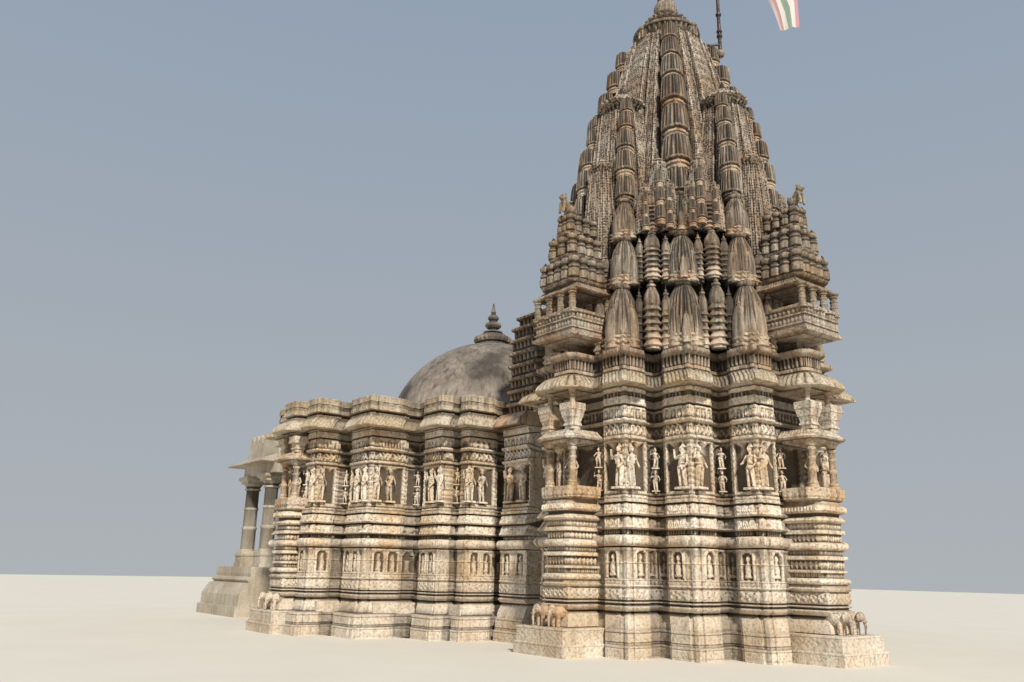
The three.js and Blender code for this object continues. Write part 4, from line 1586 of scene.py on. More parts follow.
@dataclass
class Spire:
    """Tower's roof: a curved core with corner stacks and smaller spires against its sides.

    Attributes:
        curve: Height and corner reach of the core.
        tiers: Foot, height, half width and corner reach of each corner spire.
        segments: The same of the ribbed lengths that stand above them.
        tall: Distance out, foot, top and half width of the spires on the middle of each side.
        side: Place, foot, top and half width of the smaller ones beside them.
        front: X of the plane where the vestibule's roof takes over.
        roof: Height of that roof.
    """

    curve: tuple[tuple[float, float], ...] = (
        (6.61, 2.25), (7.5, 2.17), (8.9, 2.03), (9.9, 1.91), (10.9, 1.77), (11.9, 1.62), (12.9, 1.45),
        (13.9, 1.28), (14.7, 1.12), (15.3, 0.99), (15.7, 0.9), (15.88, 0.85), (15.935, 0.74)
    )
    tiers: tuple[tuple[float, float, float, float], ...] = (
        (6.36, 1.9, 0.43, 2.05), (7.9, 1.5, 0.38, 1.97), (9.12, 1.3, 0.34, 1.87)
    )
    segments: tuple[tuple[float, float, float, float], ...] = (
        (10.03, 0.85, 0.25, 1.77), (10.88, 0.94, 0.3, 1.67), (11.82, 0.95, 0.285, 1.53),
        (12.77, 0.97, 0.265, 1.38), (13.74, 0.77, 0.235, 1.19), (14.51, 0.69, 0.21, 1.03),
        (15.2, 0.62, 0.185, 0.87)
    )
    tall: tuple[tuple[float, float, float, float], ...] = (
        (1.82, 7.4, 13.4, 0.92), (2.5, 7.4, 11.45, 0.54)
    )
    side: tuple[tuple[float, float, float, float, float], ...] = (
        (2.2, 1.56, 9.3, 11.05, 0.27), (2.16, 1.8, 9.2, 10.45, 0.2), (2.46, 1.34, 9.2, 10.4, 0.2)
    )
    front: float = -2.3
    roof: float = 8.6

    def clear(self, x: float, z: float) -> bool:
        """Tells whether a small spire stands clear of the vestibule's roof.

        Args:
            x: Its place.
            z: Height of its top.

        Returns:
            Whether it is built.
        """
        return x > self.front - 0.1 or z > self.roof + 0.7

    def core(self) -> Surface:
        """Models the curved core.

        Returns:
            Its surface.
        """
        heights = np.append(np.arange(6.62, 15.9, 0.14), 15.935)
        reach = np.interp(heights, [z for z, _ in self.curve], [r for _, r in self.curve])
        return latticed(heights, reach)

    def build(self, pieces: Pieces) -> None:
        """Builds the spire.

        Args:
            pieces: Collection of finished pieces.
        """
        heads = Surface()
        for turn in range(4):
            angle = turn * math.pi / 2
            outward = (math.cos(angle), math.sin(angle))
            heads.stamp(lion(), [facing(0.93 * outward[0], 0.93 * outward[1], 15.8, outward, 0.42)])
        core, tall, small = self.core(), Surface(), Surface()
        for out, base, top, reach in self.tall:
            shape = tall_spire(base, top, reach, 0.13)
            turns = [Matrix.Rotation(k * math.pi / 2, 4, "Z") for k in range(4)]
            tall.stamp(shape, [turn @ Matrix.Translation((out, 0, 0)) for turn in turns])
        for x, y, base, top, reach in self.side:
            shape = tall_spire(base, top, reach, 0.13)
            for a, b in quarter_turns(x, y):
                if self.clear(a, top):
                    small.stamp(shape, [Matrix.Translation((a, b, 0))])
        corner, beside, lengths, tiny = self.stacks()
        shade_cavities([core, tall, small, corner, beside, lengths, tiny])
        pieces.take(core, "spire_core", "spire_stone", ("spire_upper",), "pierced_stone")
        pieces.take(heads, "shoulder_lions", "white_marble")
        pieces.take(tall, "face_spires", "spire_stone", ("spire_lower",), "pierced_stone")
        pieces.take(small, "side_spires", "spire_stone", (), "pierced_stone")
        pieces.take(corner, "corner_stacks", "spire_stone", ("spire_base",))
        pieces.take(beside, "face_stacks", "spire_stone")
        pieces.take(lengths, "face_ribbed_lengths", "spire_stone")
        pieces.take(tiny, "recess_spirelets", "spire_stone")

    def place(
        self, made: Surface, shape: Surface, x: float, y: float, base: float, height: float, reach: float
    ) -> None:
        """Stands copies of a small spire at a place and those that mirror it on the four sides.

        Args:
            made: Surface that takes them.
            shape: Small spire, one metre high.
            x: Distance out.
            y: Distance sideways.
            base: Height of its foot.
            height: Its height.
            reach: Half its width.
        """
        for a, b in quarter_turns(x, y):
            if self.clear(a, base + height):
                matrix = Matrix.Translation((a, b, base)) @ Matrix.Diagonal((reach, reach, height, 1))
                made.stamp(shape, [matrix])

    def stacks(self) -> tuple[Surface, Surface, Surface, Surface]:
        """Models the stacks of small spires on the corners, beside the faces and in the recesses.

        Returns:
            Corner stacks, spires beside the faces, ribbed lengths above those, and slim shrines.
        """
        shape, plainer, length = bell(True), bell(False), segment()
        corner = Surface()
        for base, height, reach, out in self.tiers:
            self.place(corner, shape, out, out, base, height, reach)
        for base, height, reach, out in self.segments:
            self.place(corner, length, out, out, base, height, reach)

        beside, lengths = Surface(), Surface()
        for base, height, reach, x, y in (
            (6.36, 1.85, 0.42, 2.97, 1.04), (7.9, 1.45, 0.36, 2.8, 0.98), (9.1, 1.25, 0.31, 2.68, 0.88)
        ):
            self.place(beside, plainer, x, y, base, height, reach)
        for base, height, reach, x, y in (
            (10.1, 0.74, 0.2, 2.5, 0.74), (10.84, 0.7, 0.21, 2.46, 0.7), (11.54, 0.64, 0.19, 2.38, 0.65),
            (12.18, 0.56, 0.17, 2.28, 0.59), (12.74, 0.46, 0.14, 2.18, 0.52)
        ):
            self.place(lengths, length, x, y, base, height, reach)
        for x, y, base, top, reach in self.side:
            rise = (top - base) * 0.27
            for level in range(3):
                spot = 0.82 * reach * (1 - 0.1 * level)
                size = 0.44 * reach * (1 - 0.16 * level)
                self.place(lengths, length, x + spot, y + spot, base + level * rise, rise, size)

        slim, slimmer = shrine_stack(6), shrine_stack(5)
        tiny = Surface()
        for base, height, pull in ((6.36, 1.75, 0.0), (8.0, 1.35, 0.1), (9.2, 1.15, 0.2)):
            x, y, reach = 2.6 - pull, 1.6 - pull * 0.5, 0.2 - pull * 0.1
            self.place(tiny, slim, x, y, base, height, reach)
            for dx, dy in ((0.12, -0.27), (-0.2, 0.24)):
                self.place(tiny, slimmer, x + dx, y + dy, base, height * 0.86, 0.12 - pull * 0.05)
        for base, height in ((6.36, 1.5), (7.8, 1.1)):
            self.place(tiny, slimmer, 3.14 - (base - 6.4) * 0.12, 0.5, base, height, 0.14)
        return corner, beside, lengths, tiny


def shade_cavities(surfaces: Sequence[Surface], step: float = 0.09) -> None:
    """Marks as hollow what stands far behind its neighbours on the tower, which paints shade into the
    gaps between the stacks below 10.5 m.

    Args:
        surfaces: Surfaces that stand round the Z axis.
        step: Size in metres of the cells in which neighbours are looked for.
    """
    turns, levels = 220, 200
    points = [np.concatenate(surface.points) for surface in surfaces]
    cells = []
    for place in points:
        angle = np.arctan2(place[:, 1], place[:, 0])
        column = np.round((angle + np.pi) / (2 * np.pi) * turns).astype(int) % turns
        cells.append((column, np.clip((place[:, 2] / step).astype(int), 0, levels - 1)))
    furthest = np.zeros((turns, levels))
    for place, (column, row) in zip(points, cells):
        np.maximum.at(furthest, (column, row), np.hypot(place[:, 0], place[:, 1]))
    spread = furthest.copy()
    for across in range(-3, 4):
        for up in range(-2, 3):
            spread = np.maximum(spread, np.roll(np.roll(furthest, across, 0), up, 1) - 0.03 * abs(across))
    for surface, place, (column, row) in zip(surfaces, points, cells):
        behind = spread[column, row] - np.hypot(place[:, 0], place[:, 1])
        low = np.clip((10.5 - place[:, 2]) / 0.8, 0.0, 1.0)
        # painted shade: how far a point lies behind its neighbours, up to 10.5 m high
        cavity_shade = np.clip((behind - 0.14) / 0.3, 0.0, 1.0) * low
        hollow = np.concatenate(surface.hollows)
        surface.hollows = [
            np.where(cavity_shade > 0.02, np.maximum(hollow, 0.0) * (1 - cavity_shade) + cavity_shade, hollow)
        ]


# Tower, hall and vestibule


TOWER_PLAN = ((3.46, 1.55), (2.545, 2.545), (1.55, 3.46))
HALL_PLAN = ((6.65, 1.35), (5.8, 2.7), (4.4, 3.9), (3.9, 4.4), (2.7, 5.8), (1.35, 6.65))
HALL_X = -8.0
TOWER_END = -2.3
HALL_REAR, HALL_FRONT = -3.35, -14.3
HALL_STRETCH = 0.952
HALL_WALL_TOP = 5.14
TOWER_WALL_TOP = 5.47
PEDESTAL_TOP, HALL_PEDESTAL_TOP = 3.115, 3.06
# pieces that rest on one another stay this far apart
SEAM = 0.0003
EYE_LEVEL = 1.6

PLINTH = (
    (0.0, 0.0), (0.03, 0.0), (0.035, -0.012), (0.05, -0.012), (0.055, -0.01), (0.19, -0.01),
    (0.195, -0.014), (0.21, -0.014), (0.215, 0.0), (0.24, 0.0), (0.245, -0.02), (0.255, -0.06),
    (0.29, -0.06), (0.295, -0.075), (0.31, -0.075), (0.315, -0.06), (0.47, -0.06), (0.475, -0.076),
    (0.49, -0.076), (0.495, -0.06), (0.53, -0.06), (0.54, -0.1), (0.562, -0.11), (0.6, -0.115),
    (0.7, -0.15), (0.8, -0.21), (0.865, -0.27), (0.885, -0.27), (0.89, -0.2), (0.96, -0.125),
    (0.975, -0.12), (0.985, -0.16), (1.01, -0.21), (1.03, -0.2), (1.05, -0.15), (1.065, -0.15),
    (1.075, -0.2), (1.1, -0.21), (1.11, -0.17), (1.13, -0.16), (1.31, -0.16), (1.33, -0.185),
    (1.3527, -0.185)
)
PLINTH_CARVING = carve(
    Band(Motif.SCROLL, 0.06, 0.185, 0.16, 0.009),
    Band(Motif.SCROLL, 0.32, 0.465, 0.18, 0.01),
    Band(Motif.PETALS, 0.9, 0.96, 0.09, 0.014),
    Band(Motif.SCROLL, 1.135, 1.3, 0.2, 0.024),
    Band(Motif.BEADS, 1.15, 1.29, 0.2, 0.018)
)


def stretched(z: float, stretch: float) -> float:
    """Scales a height above eye level, where the hall's mouldings lie closer than the tower's."""
    return EYE_LEVEL + (z - EYE_LEVEL) * stretch if z > EYE_LEVEL else z


def wall_profile(stretch: float) -> list[tuple[float, float]]:
    """Makes the mouldings of the wall from the floor to under the eave.

    Args:
        stretch: Scale of the heights above eye level, one for the tower.

    Returns:
        Height and offset of each turning point.
    """
    points = [
        (1.353, -0.168), (1.38, -0.14), (1.41, -0.168), (1.49, -0.17), (1.5, -0.15), (1.52, -0.18),
        (1.82, -0.18), (1.83, -0.165), (1.85, -0.165), (1.86, -0.18), (2.08, -0.18), (2.12, -0.15),
        (2.135, -0.15), (2.14, -0.24), (2.16, -0.24)
    ]
    points += rounded(2.17, 2.39, -0.15, 0.11)
    points += [
        (2.4, -0.25), (2.5, -0.265), (2.52, -0.12), (2.54, -0.1), (2.6, -0.14), (2.7, -0.18),
        (2.76, -0.22), (2.765, -0.26), (2.79, -0.265), (2.8, -0.12), (2.83, -0.1), (2.9, -0.14),
        (2.99, -0.18), (3.03, -0.22), (3.04, -0.26), (3.06, -0.26), (3.07, -0.17), (3.12, -0.16),
        (3.14, -0.2), (3.2, -0.19), (3.22, -0.25), (4.37, -0.255), (4.4, -0.17), (4.45, -0.16),
        (4.47, -0.24), (4.72, -0.25), (4.74, -0.17), (4.77, -0.14), (4.81, -0.14), (4.83, -0.23),
        (5.09, -0.22), (5.1, -0.25), (5.13, -0.25), (5.14, -0.19), (5.29, -0.18), (5.31, -0.24)
    ]
    return [(stretched(z, stretch), offset) for z, offset in points]


def hall_wall() -> list[tuple[float, float]]:
    """Makes the mouldings of the hall's and the vestibule's walls.

    Returns:
        Height and offset of each turning point.
    """
    return [*wall_profile(HALL_STRETCH), (HALL_WALL_TOP - SEAM, -0.18)]


def panels(low: float, high: float, wide: float) -> Carving:
    """Makes the arched panels with a seated figure that the main faces carry low down.

    Args:
        low: Height of the foot.
        high: Height of the arch's crown.
        wide: Half the width of a panel.

    Returns:
        A function like the one of carve.
    """

    def relief(along: Points, edge: Points, z: Points) -> Points:
        half = edge + np.abs(along)
        count = np.maximum(1, np.round(half / 0.24))
        pitch = 2 * half / count
        shift = (count % 2 == 0) * 0.5
        local = along - (np.round(along / pitch - shift) + shift) * pitch
        size = np.minimum(wide, pitch * 0.36)
        u = local / size
        spring = high - size
        lift = np.where(z > spring, (z - spring) / size, 0.0)
        reach = np.hypot(u, lift)
        inside = (z > low) & (z < high + 0.05) & (half > 0.16)
        rise = (z - low) / (high - low)
        body = 1 - (u / 0.55) ** 2 - ((rise - 0.36) / 0.26) ** 2
        head = 1 - (u / 0.24) ** 2 - ((rise - 0.74) / 0.12) ** 2
        legs = 1 - (u / 0.75) ** 2 - ((rise - 0.14) / 0.09) ** 2
        person = np.sqrt(np.clip(np.maximum.reduce([body, head, legs]), 0, 1))
        lace = 0.006 * np.sin(along * 150) * np.sin(z * 130)
        arch = np.where(reach < 0.84, -0.035 + 0.06 * person + lace, 0.022)
        return np.where(inside & (reach < 1.12), arch, 0.0)

    return relief


def wall_carving(stretch: float, deep: float) -> Carving:
    """Makes the carving of the wall.

    Args:
        stretch: Scale of the heights above eye level, one for the tower.
        deep: Depth of the niches.

    Returns:
        A function like the one of carve.
    """

    def at(z: float) -> float:
        return stretched(z, stretch)

    bands = (
        Band(Motif.LOZENGES, 1.4, 1.5, 0.12, 0.014),
        Band(Motif.FLUTES, at(2.41), at(2.5), 0.07, 0.014),
        Band(Motif.FLUTES, at(2.53), at(2.62), 0.05, 0.012),
        Band(Motif.GABLES, at(2.62), at(2.76), 0.16, 0.03),
        Band(Motif.FLUTES, at(2.81), at(2.9), 0.05, 0.012),
        Band(Motif.GABLES, at(2.9), at(3.04), 0.16, 0.03),
        Band(Motif.LOZENGES, at(3.13), at(3.21), 0.1, 0.014),
        Band(Motif.SCROLL, at(4.48), at(4.72), 0.15, 0.03),
        Band(Motif.SHRINE, at(4.84), at(5.08), 0.17, 0.03),
        Band(Motif.PETALS, at(5.14), at(5.28), 0.085, 0.018),
        Band(Motif.TICKS, at(5.31), at(5.4), 0.1, 0.03)
    )
    return together(carve(*bands), panels(1.52, at(2.1), 0.16), niches(at(3.22), at(4.38), deep))


PEDESTAL_RELIEF = carve(
    Band(Motif.FLUTES, 1.62, 1.7, 0.06, 0.014),
    Band(Motif.FRIEZE, 1.79, 1.95, 0.12, 0.03),
    Band(Motif.PETALS, 1.97, 2.03, 0.09, 0.014),
    Band(Motif.LOZENGES, 2.06, 2.13, 0.08, 0.014),
    Band(Motif.FRIEZE, 2.32, 2.46, 0.11, 0.028),
    Band(Motif.LOZENGES, 2.57, 2.67, 0.1, 0.018),
    Band(Motif.PETALS, 2.71, 2.79, 0.08, 0.014),
    Band(Motif.FLUTES, 2.9, 3.03, 0.075, 0.02)
)


def pedestal_profile(top: float) -> list[tuple[float, float]]:
    """Makes the mouldings of a bay's pedestal.

    Args:
        top: Height of its top.

    Returns:
        Height and offset of each turning point.
    """
    points = [(1.353, -0.11), (1.4, -0.08), (1.42, -0.13), (1.46, -0.15)]
    points += rounded(1.48, 1.6, -0.15, 0.07)
    points += [
        (1.61, -0.2), (1.7, -0.2), (1.715, -0.13), (1.75, -0.13), (1.77, -0.19), (1.95, -0.18),
        (1.965, -0.1), (2.03, -0.11), (2.045, -0.19), (2.14, -0.18)
    ]
    points += rounded(2.15, 2.29, -0.15, 0.06)
    points += [
        (2.31, -0.2), (2.46, -0.19), (2.475, -0.12), (2.54, -0.12), (2.555, -0.19), (2.68, -0.18),
        (2.7, -0.11), (2.74, -0.09), (2.8, -0.15), (2.82, -0.2), (2.87, -0.2), (2.89, -0.1),
        (2.93, -0.07), (3.0, -0.08), (3.05, -0.15), (top, -0.18)
    ]
    return points


def eave_profile(base: float, top: float) -> list[tuple[float, float]]:
    """Makes the section of a sloping stone eave, which swells between its lip and its back.

    Args:
        base: Height of its soffit.
        top: Height of its top.

    Returns:
        Height and offset of each turning point.
    """
    return [
        (base, -0.11), (base + 0.003, 0.08), (base + 0.012, 0.2), (base + 0.014, 0.261),
        (base + 0.045, 0.261), (base + 0.055, 0.24), (base + 0.1, 0.225), (base + 0.15, 0.19),
        (base + 0.2, 0.14), (base + 0.25, 0.08), (base + 0.3, 0.01), (top - 0.02, -0.03), (top, -0.03)
    ]


@dataclass
class Tower:
    """Sanctum tower up to its attic.

    Attributes:
        wall_top: Underside of the eave.
        eave_top: Top of the eave.
        attic_top: Where the spire starts.
        cella: Half the width of the room.
        ledge: Reach and half width of the lowest course of a bay.
        step: Reach and half width of the next course.
        body: Reach and half width of a bay's pedestal.
        eave: Reach and half width of the eave over a bay.
    """

    wall_top: float = TOWER_WALL_TOP
    eave_top: float = 5.82
    attic_top: float = 6.61
    cella: float = 1.65
    ledge: tuple[float, float] = (4.503, 0.789)
    step: tuple[float, float] = (4.44, 0.73)
    body: tuple[float, float] = (4.17, 0.57)
    eave: tuple[float, float] = (4.01, 0.49)

    def build(self, pieces: Pieces) -> None:
        """Builds the plinth, walls, eave and attic.

        Args:
            pieces: Collection of finished pieces.
        """
        outline = Path.stepped(TOWER_PLAN).clipped(TOWER_END, 99.0)[0]
        # the vestibule stands before the fourth side
        sides = (0, 1, 3)

        plinth = CarvedCourse("tower_base", PLINTH, PLINTH_CARVING, ("tower_plinth",), "plinth_stone")
        plinth.raise_on(outline)
        add_ledges(plinth, self.ledge, self.step, self.body, sides, 3.0, 0.0)
        plinth.finish(pieces)

        profile = [*wall_profile(1.0), (5.4, -0.24), (5.41, -0.16), (5.45, -0.12), (5.4697, -0.12)]
        wall = CarvedCourse(
            "tower_walls", profile, wall_carving(1.0, 0.08),
            ("tower_wall_rear", "tower_wall_near", "tower_wall_far"), "wall_stone", 0.045, 0.036
        )
        room = self.cella
        wall.raise_on(outline, [(TOWER_END, room), (room, room), (room, -room), (TOWER_END, -room)])
        wall.finish(pieces)
        pedestals = CarvedCourse(
            "tower_pedestals", pedestal_profile(PEDESTAL_TOP), PEDESTAL_RELIEF, (), "wall_stone", 0.04,
            0.035
        )
        for turns in sides:
            pedestals.raise_on(Path.bay(3.0, *self.body, turns, cut=0.2))
        pedestals.finish(pieces)

        carving = carve(
            Band(Motif.BEADS, self.wall_top + 0.012, self.wall_top + 0.052, 0.11, 0.024),
            Band(Motif.FLUTES, self.wall_top + 0.053, self.eave_top - 0.03, 0.11, 0.024)
        )
        eave = CarvedCourse(
            "tower_ribbed_eave", eave_profile(self.wall_top, self.eave_top - SEAM), carving,
            ("tower_eave",), "eave_stone", 0.03, 0.04
        )
        eave.raise_on(outline)
        for turns in sides:
            eave.raise_on(Path.bay(2.9, *self.eave, turns, cut=0.18))
        eave.finish(pieces)

        attic_carving = carve(
            Band(Motif.FLUTES, 5.98, 6.2, 0.11, 0.03),
            Band(Motif.PETALS, 5.87, 5.95, 0.09, 0.02),
            Band(Motif.BEADS, 6.275, 6.345, 0.09, 0.016)
        )
        attic = CarvedCourse(
            "tower_attic_band",
            [
                (self.eave_top, -0.13), (5.84, -0.25), (5.87, -0.25), (5.88, -0.15), (5.95, -0.15),
                (5.96, -0.2), (6.18, -0.2), (6.22, -0.1), (6.25, -0.06), (6.28, -0.054), (6.33, -0.054),
                (6.345, -0.3), (6.4, -0.45), (self.attic_top - SEAM, -0.5)
            ],
            attic_carving,
            ("tower_attic",),
            "wall_stone",
            0.03,
            0.05,
            "spire_stone"
        )
        attic.raise_on(outline)
        for turns in sides:
            attic.raise_on(Path.bay(2.9, *self.eave, turns, cut=0.18))
        attic.finish(pieces)
        figures = Surface()
        stand_figures(figures, outline, -0.25, 3.33, 0.94)
        pieces.take(figures, "tower_figures", "wall_stone")


def add_ledges(
    course: CarvedCourse, ledge: tuple[float, float], step: tuple[float, float],
    body: tuple[float, float], sides: Sequence[int], inner: float, centre_x: float
) -> None:
    """Adds the ledges and the foot of the pedestal of each bay to a plinth.

    Args:
        course: Plinth that takes them.
        ledge: Reach and half width of the lowest course.
        step: Reach and half width of the next one.
        body: Reach and half width of the pedestal.
        sides: Faces that carry bays, in quarter turns.
        inner: Where the bays start, from the middle.
        centre_x: Middle of the building.
    """
    low = [(0.0, -0.012), (0.2, -0.012), (0.21, -0.002), (0.235, -0.002), (0.245, -0.012)]
    high = [(0.225, 0.0), (0.5, 0.0), (0.51, 0.01), (0.535, 0.01), (0.545, 0.0)]
    foot = [(z, t) for z, t in PLINTH if z > 0.56]
    for size, profile in ((ledge, low), (step, high), (body, foot)):
        part = CarvedCourse("part", profile, course.relief, (), course.slot, course.spacing, course.step)
        for turns in sides:
            part.raise_on(Path.bay(inner, *size, turns, centre_x))
        course.surface.stamp(part.surface)


def stand_figures(made: Surface, path: Path, offset: float, foot: float, height: float) -> None:
    """Stands figures in the niches of the main faces and small ones, two high, in the recesses.

    Args:
        made: Surface that takes them.
        path: Line of the wall.
        offset: Offset of the wall behind them.
        foot: Height of their feet.
        height: Their height.
    """
    shapes = [
        Statue(0.04, True).surface(), Statue(-0.035, False).surface(), Statue(-0.045, True).surface()
    ]
    faces = path.faces()
    number = 0
    for index, (middle, outward, length, deep) in enumerate(faces):
        if not deep and 0.22 < length < 1.3:
            count = max(1, round(length / 0.44))
            tangent = np.array([-outward[1], outward[0]])
            for k in range(count):
                shift = (k - (count - 1) / 2) * length / count
                place = middle + outward * (offset - 0.01) + tangent * shift
                tall = height * (1.0 if k % 2 == 0 or count == 2 else 0.8)
                wide = height * min(1.0, 0.72 + 0.8 * (length / count - 0.33))
                size = (height * 1.3, wide, tall)
                made.stamp(shapes[number % 3], [facing(place[0], place[1], foot, outward, size)])
                number += 1
        elif deep == 0.5 and index + 1 < len(faces) and faces[index + 1][3] == 0.5:
            corner = path.corners[index + 1] + path.mitres[index + 1] * (offset + 0.1)
            diagonal = path.mitres[index + 1]
            for level in range(2):
                place = facing(
                    corner[0], corner[1], foot + level * 0.52 * height, diagonal, height * 0.48
                )
                made.stamp(shapes[(number + level) % 3], [place])


@dataclass
class Hall:
    """Domed hall with its plinth, walls, eave and parapet.

    Attributes:
        wall_top: Underside of the eave.
        eave_top: Top of the eave.
        parapet_top: Top of the parapet.
        room: Half the width of the room.
        door: Half the width of the doorway to the porch.
        passage: Half the width of the opening to the vestibule.
        eye: Radius of the opening under the dome.
        dome: Outer radius of the dome at its foot.
        rise: Height to which it would close.
        ledge: Reach and half width of the lowest course of a bay.
        step: Reach and half width of the next course.
        body: Reach and half width of a bay's pedestal.
        eave: Reach and half width of the eave over a bay.
    """

    wall_top: float = HALL_WALL_TOP
    eave_top: float = 5.52
    parapet_top: float = 6.0
    room: float = 3.2
    door: float = 0.75
    passage: float = 1.6
    eye: float = 3.05
    dome: float = 3.3
    rise: float = 3.2
    ledge: tuple[float, float] = (7.2, 0.79)
    step: tuple[float, float] = (7.14, 0.73)
    body: tuple[float, float] = (6.95, 0.57)
    eave: tuple[float, float] = (6.9, 0.49)

    def halves(self) -> list[Path]:
        """Cuts the hall's outline at the porch and the vestibule.

        Returns:
            The near and the far path.
        """
        return Path.stepped(HALL_PLAN, HALL_X).clipped(HALL_FRONT, HALL_REAR)

    def inner_line(self, path: Path, points: Sequence[tuple[float, float]]) -> list[tuple[float, float]]:
        """Turns points for the near half into those of either half, in walking order.

        Args:
            path: Near or far half.
            points: Points with positive Y, from the vestibule to the porch.

        Returns:
            The points that close the path.
        """
        near = path.corners[:, 1].mean() < 0
        if near:
            return [(x, -y) for x, y in points]
        return list(reversed(points))

    def build(self, pieces: Pieces) -> None:
        """Builds the hall.

        Args:
            pieces: Collection of finished pieces.
        """
        sides = (1, 3)
        room, door, passage = self.room, self.door, self.passage
        grown = [(z, t + 0.22 if z < 0.553 else t) for z, t in PLINTH]
        plinth = CarvedCourse(
            "hall_base", grown, PLINTH_CARVING, ("hall_plinth",), "plinth_stone", 0.06, 0.045
        )
        for path in self.halves():
            plinth.raise_on(path, self.inner_line(path, [(HALL_REAR, 0.0), (HALL_FRONT, 0.0)]))
        # the base is solid under the floor
        for along, across in ((1.3, 6.2), (2.6, 5.3), (4.2, 3.8), (4.6, 2.6)):
            core = block(HALL_X - along, HALL_X + along, -across, across, 0.001, 0.8)
            plinth.surface.stamp(core)
        add_ledges(plinth, self.ledge, self.step, self.body, sides, 6.0, HALL_X)
        plinth.finish(pieces)
        wall = CarvedCourse(
            "hall_walls", hall_wall(), wall_carving(HALL_STRETCH, 0.07),
            ("hall_wall_near", "hall_wall_far", "hall_wall_front", "hall_wall_rear"), "wall_stone", 0.07,
            0.045
        )
        rear, front = HALL_X + room, HALL_X - room
        line = [
            (HALL_REAR, passage), (rear, passage), (rear, room), (front, room), (front, door),
            (HALL_FRONT, door)
        ]
        for path in self.halves():
            wall.raise_on(path, self.inner_line(path, line))
        # the masonry over the two openings
        wall.surface.stamp(block(HALL_FRONT, front, -door, door, 3.9, 5.139))
        wall.surface.stamp(block(rear, HALL_REAR, -passage, passage, 4.6, 5.139))
        wall.finish(pieces)
        pedestals = CarvedCourse(
            "hall_pedestals", pedestal_profile(HALL_PEDESTAL_TOP), PEDESTAL_RELIEF, (), "wall_stone",
            0.05, 0.04
        )
        for turns in sides:
            pedestals.raise_on(Path.bay(6.2, *self.body, turns, HALL_X, 0.2))
        pedestals.finish(pieces)
        self.roof(pieces)
        figures = Surface()
        for path in self.halves():
            stand_figures(figures, path, -0.25, 3.27, 0.9)
        pieces.take(figures, "hall_figures", "wall_stone")

    def roof(self, pieces: Pieces) -> None:
        """Builds the eave, the parapet, the dome and its finial.

        Args:
            pieces: Collection of finished pieces.
        """
        sides = (1, 3)
        angles = np.linspace(0, math.pi, 25)
        ring = [(HALL_X + self.eye * math.cos(a), self.eye * math.sin(a)) for a in angles]
        line = [(HALL_REAR, 0.0), *ring, (HALL_FRONT, 0.0)]
        carving = carve(
            Band(Motif.BEADS, self.wall_top + 0.012, self.wall_top + 0.052, 0.1, 0.018),
            Band(Motif.FLUTES, self.wall_top + 0.053, self.eave_top - 0.06, 0.1, 0.013)
        )
        eave = CarvedCourse(
            "hall_ribbed_eave", eave_profile(self.wall_top, self.eave_top - SEAM), carving,
            ("hall_eave",), "eave_stone", 0.036, 0.05
        )
        for path in self.halves():
            eave.raise_on(path, self.inner_line(path, line))
        for turns in sides:
            eave.raise_on(Path.bay(6.2, *self.eave, turns, HALL_X, 0.18))
        eave.finish(pieces)

        low, high = self.eave_top, self.parapet_top
        slab = CarvedCourse(
            "hall_parapet_slab",
            [
                (low, -0.12), (low + 0.07, -0.16), (low + 0.085, -0.06), (low + 0.1, -0.03),
                (low + 0.2, -0.03), (low + 0.21, -0.05), (low + 0.3, -0.05), (low + 0.31, -0.03),
                (high - 0.03, -0.03), (high, -0.06), (high, -0.33), (low + 0.13, -0.33)
            ],
            carve(
                Band(Motif.TICKS, low + 0.11, low + 0.2, 0.3, 0.012),
                Band(Motif.SCROLL, low + 0.22, low + 0.3, 0.3, 0.01),
                Band(Motif.TICKS, low + 0.32, high - 0.04, 0.3, 0.012)
            ),
            ("hall_parapet",),
            "eave_stone",
            0.06,
            0.05
        )
        for path in self.halves():
            slab.raise_on(path, self.inner_line(path, line), low + 0.13)
        for turns in sides:
            slab.raise_on(Path.bay(6.2, *self.eave, turns, HALL_X, 0.18))
        slab.finish(pieces)

        spring = low + 0.1303
        closing = math.pi / 2 * 0.96
        shell = [
            (spring + self.rise * math.sin(i / 29 * closing), self.dome * math.cos(i / 29 * closing))
            for i in range(30)
        ]
        inside = [(spring - 0.02 + (z - spring) * 0.92, r - 0.24) for z, r in shell if r > 0.3]
        cupola = Surface()
        angles = np.arange(72) * 2 * np.pi / 72
        rows = [
            np.stack([HALL_X + r * np.cos(angles), r * np.sin(angles), np.full(72, z)], axis=1)
            for z, r in [*reversed(inside), (spring, 3.06), *shell]
        ]
        cupola.grid(np.array(rows))
        cupola.cap(rows[-1], True)
        cupola.cap(rows[0], False)
        pieces.take(cupola, "cupola", "dome_plaster", ("hall_dome",))

        top = spring + self.rise * math.sin(closing) + SEAM
        finial = Surface()
        place = Matrix.Translation((HALL_X, 0, top))
        finial.stamp(turned([(0.0, 0.5), (0.05, 0.52), (0.07, 0.44)], 48), [place])
        finial.stamp(
            turned([(0.06, 0.46), (0.1, 0.58), (0.18, 0.62), (0.26, 0.6), (0.32, 0.46)], 72, 24, 0.09),
            [place]
        )
        finial.stamp(
            turned(
                [
                    (0.3, 0.42), (0.36, 0.44), (0.38, 0.3), (0.42, 0.28), (0.45, 0.33), (0.49, 0.32),
                    (0.53, 0.16), (0.58, 0.15), (0.64, 0.24), (0.7, 0.275), (0.77, 0.26), (0.84, 0.15),
                    (0.88, 0.12), (0.92, 0.17), (0.97, 0.19), (1.03, 0.16), (1.1, 0.08), (1.14, 0.07),
                    (1.18, 0.09), (1.26, 0.06), (1.49, 0.02)
                ],
                28
            ),
            [place]
        )
        pieces.take(finial, "cupola_finial", "dome_plaster", ("dome_finial",))


